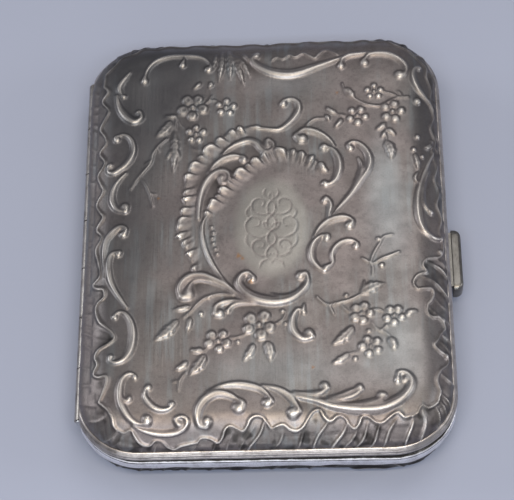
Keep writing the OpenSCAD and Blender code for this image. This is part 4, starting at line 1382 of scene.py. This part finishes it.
class Paint:
    """Short names for the nodes of one material. Lengths are in millimetres of the row frame."""

    def __init__(self, name):
        self.material = bpy.data.materials.new(name)
        self.material.use_nodes = True
        self.tree = self.material.node_tree
        self.shader = self.tree.nodes["Principled BSDF"]
        self.place = self.tree.nodes.new("ShaderNodeTexCoord").outputs["Object"]

    def put(self, node, socket, value):
        if value is None:
            return
        if isinstance(value, bpy.types.NodeSocket):
            self.tree.links.new(value, node.inputs[socket])
        else:
            node.inputs[socket].default_value = value

    def set(self, **values):
        """Sets the shader's sockets: underscores stand for spaces."""
        for name, value in values.items():
            self.put(self.shader, name.replace("_", " "), value)
        return self

    def stretched(self, x=1.0, y=1.0, z=1.0):
        """The place, scaled so that one unit is 1/x, 1/y and 1/z millimetres."""
        node = self.tree.nodes.new("ShaderNodeVectorMath")
        node.operation = "MULTIPLY"
        self.put(node, 0, self.place)
        node.inputs[1].default_value = (x / MM, y / MM, z / MM)
        return node.outputs[0]

    def noise(self, scale=1.0, detail=3.0, rough=0.55, stretch=(1, 1, 1), warp=0.0):
        """Noise from 0 to 1 whose blobs are about 1/scale millimetres."""
        node = self.tree.nodes.new("ShaderNodeTexNoise")
        self.put(node, "Vector", self.stretched(*stretch))
        self.put(node, "Scale", scale)
        self.put(node, "Detail", detail)
        self.put(node, "Roughness", rough)
        self.put(node, "Distortion", warp)
        return node.outputs["Fac"]

    def lines(self, pitch, direction="X", warp=0.0, warp_scale=1.0):
        """Sine lines of a pitch in millimetres across one direction."""
        node = self.tree.nodes.new("ShaderNodeTexWave")
        node.bands_direction = direction
        self.put(node, "Vector", self.stretched())
        self.put(node, "Scale", math.pi / 10 / pitch)
        self.put(node, "Distortion", warp)
        self.put(node, "Detail", 2.0)
        self.put(node, "Detail Scale", warp_scale)
        return node.outputs["Fac"]

    def value(self, name):
        node = self.tree.nodes.new("ShaderNodeAttribute")
        node.attribute_name = name
        return node.outputs["Fac"]

    def math(self, operation, a, b=None, clamp=False):
        node = self.tree.nodes.new("ShaderNodeMath")
        node.operation = operation
        node.use_clamp = clamp
        self.put(node, 0, a)
        self.put(node, 1, b)
        return node.outputs[0]

    def span(self, source, low, high, to_low=0.0, to_high=1.0):
        """Maps low..high smoothly to to_low..to_high, held at the ends."""
        node = self.tree.nodes.new("ShaderNodeMapRange")
        node.interpolation_type = "SMOOTHSTEP"
        for socket, value in zip(("Value", "From Min", "From Max", "To Min", "To Max"),
                                 (source, low, high, to_low, to_high)):
            self.put(node, socket, value)
        return node.outputs["Result"]

    def blend(self, share, a, b, mode="MIX"):
        node = self.tree.nodes.new("ShaderNodeMix")
        node.data_type = "RGBA"
        node.blend_type = mode
        node.clamp_result = False
        for index, value in ((0, share), (6, a), (7, b)):
            if isinstance(value, bpy.types.NodeSocket):
                self.tree.links.new(value, node.inputs[index])
            elif index == 0:
                node.inputs[index].default_value = value
            else:
                node.inputs[index].default_value = (*value, 1.0)
        return node.outputs[2]

    def bump(self, height, strength, distance):
        """Adds a bump, of a depth in millimetres, on top of those before it."""
        node = self.tree.nodes.new("ShaderNodeBump")
        self.put(node, "Strength", strength)
        self.put(node, "Distance", distance * MM)
        self.put(node, "Height", height)
        if self.shader.inputs["Normal"].is_linked:
            before = self.shader.inputs["Normal"].links[0].from_socket
            self.tree.links.new(before, node.inputs["Normal"])
        self.tree.links.new(node.outputs[0], self.shader.inputs["Normal"])
        return self


def shell_silver(name, dark, middle, bright, inside):
    """Tarnished embossed silver: dark in the hollows, worn bright on the crests."""
    p = Paint(name)
    cloud = p.noise(0.09, 3.0)
    blotch = p.noise(0.45, 4.0)
    streak = p.noise(1.0, 3.0, stretch=(0.85, 0.06, 0.3))
    grain = p.noise(6.0, 3.0)
    tone = p.value("tone")
    uneven = p.math("MULTIPLY", p.math("SUBTRACT", blotch, 0.5), 0.14)
    wear = p.span(p.math("ADD", p.value("crest"), uneven), 0.03, 0.24)
    low = p.math("ADD", p.value("stand"), p.math("MULTIPLY", p.math("SUBTRACT", cloud, 0.5), 0.22))
    pit = p.span(low, -0.06, -0.32)
    cool = (0.30, 0.315, 0.32)
    ground = p.blend(p.span(cloud, 0.35, 0.65, 0.0, 0.7), middle, (0.218, 0.204, 0.192))
    mottle = p.span(p.noise(1.5, 4.0, 0.7), 0.46, 0.68, 0.0, 0.5)
    ground = p.blend(mottle, ground, tuple(0.6 * c for c in middle))
    ground = p.blend(p.span(blotch, 0.45, 0.75, 0.0, 0.42), ground, tuple(0.66 * c for c in middle))
    striped = p.math("MULTIPLY", p.span(streak, 0.46, 0.66, 0.0, 0.6), p.span(cloud, 0.40, 0.62))
    ground = p.blend(striped, ground, cool)
    ground = p.blend(p.span(tone, 0.0, 0.6, 0.0, 0.75), ground, tuple(1.3 * c for c in cool))
    ground = p.blend(p.span(tone, 0.0, -0.75, 0.0, 0.85), ground, (0.115, 0.115, 0.12))
    smooth = p.value("plain")
    ground = p.blend(p.span(smooth, 0.0, 1.0, 0.0, 0.75), ground, (0.35, 0.335, 0.305))
    colour = p.blend(pit, ground, dark)
    worn = p.blend(p.span(tone, 0.1, -0.6, 0.0, 0.5), bright, tuple(0.6 * c for c in bright))
    colour = p.blend(p.math("MULTIPLY", wear, p.span(blotch, 0.3, 0.6, 1.0, 0.75)), colour, worn)
    colour = p.blend(p.span(grain, 0.35, 0.75, 0.0, 0.16), colour, dark)
    # Near-black from this attribute: black oxide in the lid's border pockets, and painted shade on the base's
    # lower wall.
    soot_and_shade = p.math("MULTIPLY", p.value("soot_and_shade"), p.span(wear, 0.0, 0.8, 1.0, 0.25))
    colour = p.blend(soot_and_shade, colour, (0.022, 0.02, 0.019))
    colour = p.blend(p.math("MULTIPLY", p.value("stain"), 0.8), colour, (0.30, 0.16, 0.07))
    colour = p.blend(p.value("inside"), colour, inside)
    rough = p.math("ADD", p.span(wear, 0.0, 1.0, 0.43, 0.35), p.span(blotch, 0.3, 0.7, -0.04, 0.06))
    rough = p.math("SUBTRACT", rough, p.math("MULTIPLY", smooth, 0.06))
    p.set(Base_Color=colour, Metallic=1.0, Roughness=rough)
    patchy = p.math("MULTIPLY", p.span(p.noise(0.10, 2.0), 0.42, 0.60), p.span(wear, 0.0, 0.3, 1.0, 0.0))
    patchy = p.math("MULTIPLY", patchy, p.span(smooth, 0.0, 0.5, 1.0, 0.1))
    drawn = p.noise(2.6, 2.0, stretch=(1.0, 0.045, 0.3))
    p.bump(p.math("MULTIPLY", drawn, patchy), 0.85, 0.03)
    p.bump(grain, 0.3, 0.012)
    return p.material


def band_silver(name, bright, dull, with_dirt_and_shade=True, scratch=(1, 1, 1)):
    """Worn plain silver of the rims and the catch, with dirt in the grooves and painted shade at the seam
    where its attribute says.
    """
    p = Paint(name)
    patch = p.noise(0.5, 4.0)
    fine = p.noise(4.0, 3.0, stretch=scratch)
    colour = p.blend(p.span(patch, 0.4, 0.72), bright, dull)
    colour = p.blend(p.span(fine, 0.5, 0.8, 0.0, 0.35), colour, tuple(0.4 * c for c in dull))
    rough = p.span(fine, 0.2, 0.8, 0.27, 0.44)
    if with_dirt_and_shade:
        # Near-black from the attribute: dirt in the grooves, and painted shade along the seam between lid and
        # base and where the base band meets the shell.
        dirt_and_shade = p.math("ADD", p.value("dirt_and_shade"), p.span(patch, 0.3, 0.7, -0.15, 0.15))
        dirt_and_shade = p.span(dirt_and_shade, 0.3, 1.0)
        colour = p.blend(dirt_and_shade, colour, (0.035, 0.032, 0.03))
        rough = p.math("ADD", rough, p.math("MULTIPLY", dirt_and_shade, 0.25))
    p.set(Base_Color=colour, Metallic=1.0, Roughness=rough)
    p.bump(fine, 0.3, 0.012)
    return p.material


def satin(name, colour, deep):
    """Silk satin: fine threads one way, soft slubs, and a sheen."""
    p = Paint(name)
    threads = p.lines(0.16, "X", 0.5, 2.0)
    weft = p.lines(0.10, "Y", 0.3, 2.0)
    slub = p.noise(0.5, 3.0, stretch=(3, 0.25, 1))
    fade = p.noise(0.06, 2.0)
    tone = p.blend(p.span(fade, 0.3, 0.7), colour, deep)
    tone = p.blend(p.span(slub, 0.5, 0.8, 0.0, 0.4), tone, tuple(0.75 * c for c in deep))
    p.set(Base_Color=tone, Roughness=p.span(slub, 0.3, 0.7, 0.34, 0.5), Sheen_Weight=0.5,
          Sheen_Roughness=0.35, Anisotropic=0.5, Specular_IOR_Level=0.6)
    p.bump(threads, 0.5, 0.03)
    p.bump(weft, 0.3, 0.015)
    p.bump(slub, 0.4, 0.03)
    return p.material


def ribbed_ribbon(name, colour, deep):
    """Ribbon with cross ribs."""
    p = Paint(name)
    ribs = p.lines(0.34, "X", 0.2, 1.0)
    threads = p.lines(0.12, "Y", 0.3, 1.0)
    worn = p.noise(0.3, 3.0)
    tone = p.blend(p.span(worn, 0.35, 0.7), colour, deep)
    # The valleys between the ribs are painted darker: painted shade.
    tone = p.blend(p.span(ribs, 0.0, 0.5, 0.5, 0.0), tone, tuple(0.6 * c for c in deep))
    p.set(Base_Color=tone, Roughness=p.span(ribs, 0.2, 0.9, 0.55, 0.38), Sheen_Weight=0.4,
          Specular_IOR_Level=0.5)
    p.bump(ribs, 0.8, 0.06)
    p.bump(threads, 0.3, 0.02)
    return p.material


def wool_felt(name, colour, shade):
    """Felt: matted fibres with no weave, a little uneven in tone."""
    p = Paint(name)
    fibres = p.noise(5.0, 6.0, 0.7, stretch=(1, 0.35, 1), warp=1.2)
    cross = p.noise(5.0, 6.0, 0.7, stretch=(0.35, 1, 1), warp=1.2)
    matted = p.math("MAXIMUM", fibres, cross)
    cloud = p.noise(0.12, 3.0)
    tone = p.blend(p.span(cloud, 0.35, 0.7), colour, shade)
    tone = p.blend(p.span(matted, 0.55, 0.35, 0.0, 0.55), tone, tuple(0.7 * c for c in shade))
    p.set(Base_Color=tone, Roughness=p.span(matted, 0.3, 0.7, 0.98, 0.86), Sheen_Weight=0.35,
          Sheen_Roughness=0.6, Specular_IOR_Level=0.15)
    p.bump(matted, 0.7, 0.09)
    return p.material


def sewing_thread(name, colour, shade):
    """Two-ply thread: slanting ridges."""
    p = Paint(name)
    twist = p.lines(0.16, "DIAGONAL", 0.2, 1.0)
    fuzz = p.noise(8.0, 3.0)
    # The grooves of the twist get the darker colour: painted shade.
    tone = p.blend(p.span(twist, 0.1, 0.7), shade, colour)
    tone = p.blend(p.span(fuzz, 0.5, 0.8, 0.0, 0.3), tone, shade)
    p.set(Base_Color=tone, Roughness=p.span(fuzz, 0.3, 0.7, 0.75, 0.9), Sheen_Weight=0.3,
          Specular_IOR_Level=0.3)
    p.bump(twist, 0.8, 0.04)
    return p.material


def pasteboard(name, colour, shade):
    """Card: fibres pressed flat, with specks."""
    p = Paint(name)
    fibres = p.noise(3.0, 5.0, 0.6, stretch=(1, 0.3, 1))
    specks = p.noise(7.0, 1.0)
    tone = p.blend(p.span(fibres, 0.35, 0.65), shade, colour)
    tone = p.blend(p.span(specks, 0.7, 0.78, 0.0, 0.5), tone, tuple(0.5 * c for c in shade))
    p.set(Base_Color=tone, Roughness=p.span(fibres, 0.3, 0.7, 0.82, 0.92), Specular_IOR_Level=0.25)
    p.bump(fibres, 0.4, 0.03)
    return p.material


def put_on(obj, material):
    obj.data.materials.clear()
    obj.data.materials.append(material)
    return obj


# ---------------------------------------------------------------- camera, light and floor

def make_camera():
    """Camera at the photograph's angle: about 30 degrees from straight above, slightly rolled."""
    azimuth, elevation, roll = (math.radians(x) for x in (2.674, 60.0, 3.378))
    distance, slide_x, slide_y = 312.608, 1.347, 0.969
    focal_pixels, image_width = 1935.7, 514
    back = Vector((math.sin(azimuth) * math.cos(elevation),
                   -math.cos(azimuth) * math.cos(elevation), math.sin(elevation)))
    right = Vector((math.cos(azimuth), math.sin(azimuth), 0))
    up = back.cross(right)
    place = Vector((0, 0, 6.5)) - slide_x * right - slide_y * up + distance * back
    x_axis = math.cos(roll) * right - math.sin(roll) * up
    y_axis = math.sin(roll) * right + math.cos(roll) * up
    turn = Matrix((x_axis, y_axis, back)).transposed()
    data = bpy.data.cameras.new("camera")
    data.sensor_width = 36
    data.lens = focal_pixels / image_width * data.sensor_width
    data.clip_start, data.clip_end = 0.01, 10
    camera = bpy.data.objects.new("camera", data)
    bpy.context.scene.collection.objects.link(camera)
    camera.matrix_world = Matrix.Translation(place * MM) @ turn.to_4x4()
    bpy.context.scene.camera = camera


def soft_light(name, place, size, power, colour=(1, 1, 1)):
    """Rectangular lamp, in millimetres, aimed at the middle of the case."""
    data = bpy.data.lights.new(name, "AREA")
    data.shape = "RECTANGLE"
    data.size, data.size_y = size[0] * MM, size[1] * MM
    data.energy = power
    data.color = colour
    lamp = bpy.data.objects.new(name, data)
    bpy.context.scene.collection.objects.link(lamp)
    lamp.location = Vector(place) * MM
    lamp.rotation_mode = "QUATERNION"
    lamp.rotation_quaternion = (Vector((0, 0, 0.008)) - lamp.location).to_track_quat("-Z", "Y")


def make_studio():
    world = bpy.data.worlds.new("studio")
    bpy.context.scene.world = world
    world.use_nodes = True
    sky = world.node_tree.nodes["Background"]
    sky.inputs["Color"].default_value = (0.66, 0.67, 0.74, 1)
    sky.inputs["Strength"].default_value = 0.40
    soft_light("overhead", (90, 170, 450), (230, 260), 0.42, (1.0, 0.98, 0.95))
    soft_light("warm_strip", (10, -140, 450), (340, 40), 0.80, (1.0, 0.87, 0.68))
    soft_light("cool_strip", (10, -270, 400), (360, 70), 0.88, (0.84, 0.91, 1.0))
    soft_light("low_front", (-40, -470, 110), (420, 110), 0.48, (0.93, 0.96, 1.0))
    soft_light("side", (-380, 100, 220), (200, 160), 0.40, (0.95, 0.97, 1.0))
    soft_light("right", (420, -40, 200), (200, 160), 0.40, (0.95, 0.97, 1.0))
    floor = new_box("floor", (-900, -900, -4), (900, 900, -0.02))
    paint = Paint("pale_floor")
    tone = paint.blend(paint.noise(0.02, 2.0), (0.34, 0.365, 0.455), (0.36, 0.385, 0.475))
    paint.set(Base_Color=tone, Roughness=0.75, Specular_IOR_Level=0.15)
    put_on(floor, paint.material)
    bpy.context.scene.view_settings.view_transform = "Standard"
    bpy.context.scene.view_settings.look = "None"


# ---------------------------------------------------------------- the pieces

make_camera()
make_studio()
relief = draw_relief()
lid_silver = shell_silver("oxidised_silver", (0.045, 0.04, 0.038), (0.268, 0.233, 0.224),
                          (0.83, 0.78, 0.72), (0.66, 0.64, 0.60))
rim_silver = band_silver("worn_silver", (0.50, 0.462, 0.44), (0.33, 0.30, 0.28))
# The base band's silver is a near-white bluish copy of the rims' silver: painted light, for the pale
# surroundings reflected in its convex face.
base_rim_lit_silver = band_silver("silver_below_painted_light", (0.94, 0.93, 0.95), (0.72, 0.70, 0.71))
plain_silver = band_silver("fittings_silver", (0.40, 0.375, 0.35), (0.22, 0.20, 0.185), with_dirt_and_shade=False)
# The thumb-piece's silver is a darker copy of the fittings' silver, so its upturned face shows less of the
# overhead lamp: painted shade.
thumb_silver = band_silver("thumb_silver", (0.21, 0.20, 0.186), (0.14, 0.132, 0.12), False, (5, 0.4, 5))
steel = band_silver("steel", (0.56, 0.57, 0.58), (0.34, 0.33, 0.33), with_dirt_and_shade=False)
silk = satin("silk", (0.36, 0.20, 0.235), (0.28, 0.145, 0.18))
ribbon_weave = ribbed_ribbon("ribbon", (0.22, 0.105, 0.145), (0.16, 0.07, 0.10))
felt = wool_felt("felt", (0.74, 0.68, 0.54), (0.62, 0.56, 0.42))
thread = sewing_thread("thread", (0.62, 0.55, 0.42), (0.36, 0.30, 0.22))
card = pasteboard("card", (0.50, 0.42, 0.29), (0.38, 0.31, 0.20))

RINGS = 190
lid = embossed_shell("lid_embossed_shell", LID, relief, RINGS)
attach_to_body(put_on(lid, lid_silver), "lid")
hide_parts("lid_shell")
base = embossed_shell("base_embossed_shell", BASE, relief, RINGS * 2 // 3, deep=0.8, mirror=True)
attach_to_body(put_on(base, lid_silver), "base")
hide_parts("base_shell")

lid_band = make_lid_rim()
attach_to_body(put_on(lid_band, rim_silver), "lid")
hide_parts("lid_rim")
base_band = make_base_rim()
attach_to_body(put_on(base_band, base_rim_lit_silver), "base")
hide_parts("base_rim")
thumb = make_thumb_piece()
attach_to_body(put_on(thumb, thumb_silver), "catch")
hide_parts("thumb_piece")
spring = make_catch_spring()
put_on(spring, steel)
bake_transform(spring)
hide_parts("catch_spring")

base_silk = puckered_panel("base_silk_pad", 2.75, 1.06, 2.0, [
    (-23, 23, -17.5, -10.5, 0.90), (-23, 23, 10.5, 17.5, 0.90), (-26.6, -24.9, -26.5, 26.5, 0.92)], 0.09)
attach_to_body(put_on(base_silk, silk), "base")
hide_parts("base_silk")
lid_silk = puckered_panel("lid_silk_pad", 4.45, 11.63, 10.82, [], 0.09)
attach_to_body(put_on(lid_silk, silk), "lid")
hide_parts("lid_silk")

for end in ("front", "back"):
    ribbon = make_ribbon(f"packet_ribbon_{end}", f"ribbon_{end}")
    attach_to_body(put_on(ribbon, ribbon_weave), "base")
    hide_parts(f"ribbon_{end}")

spine = make_spine()
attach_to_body(put_on(spine, silk), "base")
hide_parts("leaf_spine")
stitches = make_stitches()
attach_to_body(put_on(stitches, thread), "base")
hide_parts("spine_stitches")

ATTACH = {"lower": {"x": -25.3, "z": 7.3}, "upper": {"x": -25.35, "z": 8.75}}
for level, bears in (("lower", 1), ("upper", -1)):
    body = f"leaf_{level}"
    ys = needle_ys(f"needles_{level}")
    leaf, flat, area = make_leaf(f"felt_leaf_{level}_cloth", f"felt_leaf_{level}", bears, ys, ATTACH[level])
    put_on(leaf, felt)
    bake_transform(leaf)
    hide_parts(f"felt_leaf_{level}")
    needles = make_needles(f"needle_row_{level}", f"needles_{level}", ys)
    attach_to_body(put_on(needles, steel), body)
    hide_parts(f"needles_{level}")

for node in ("base_card", "lid_card"):
    put_on(frame["nodes"][node], card)

for node in ("base_knuckles", "lid_knuckles", "locating_flange", "keeper", "spring_post"):
    put_on(frame["nodes"][node], plain_silver)
for node in ("hinge_pin", "catch_rivets"):
    put_on(frame["nodes"][node], steel)
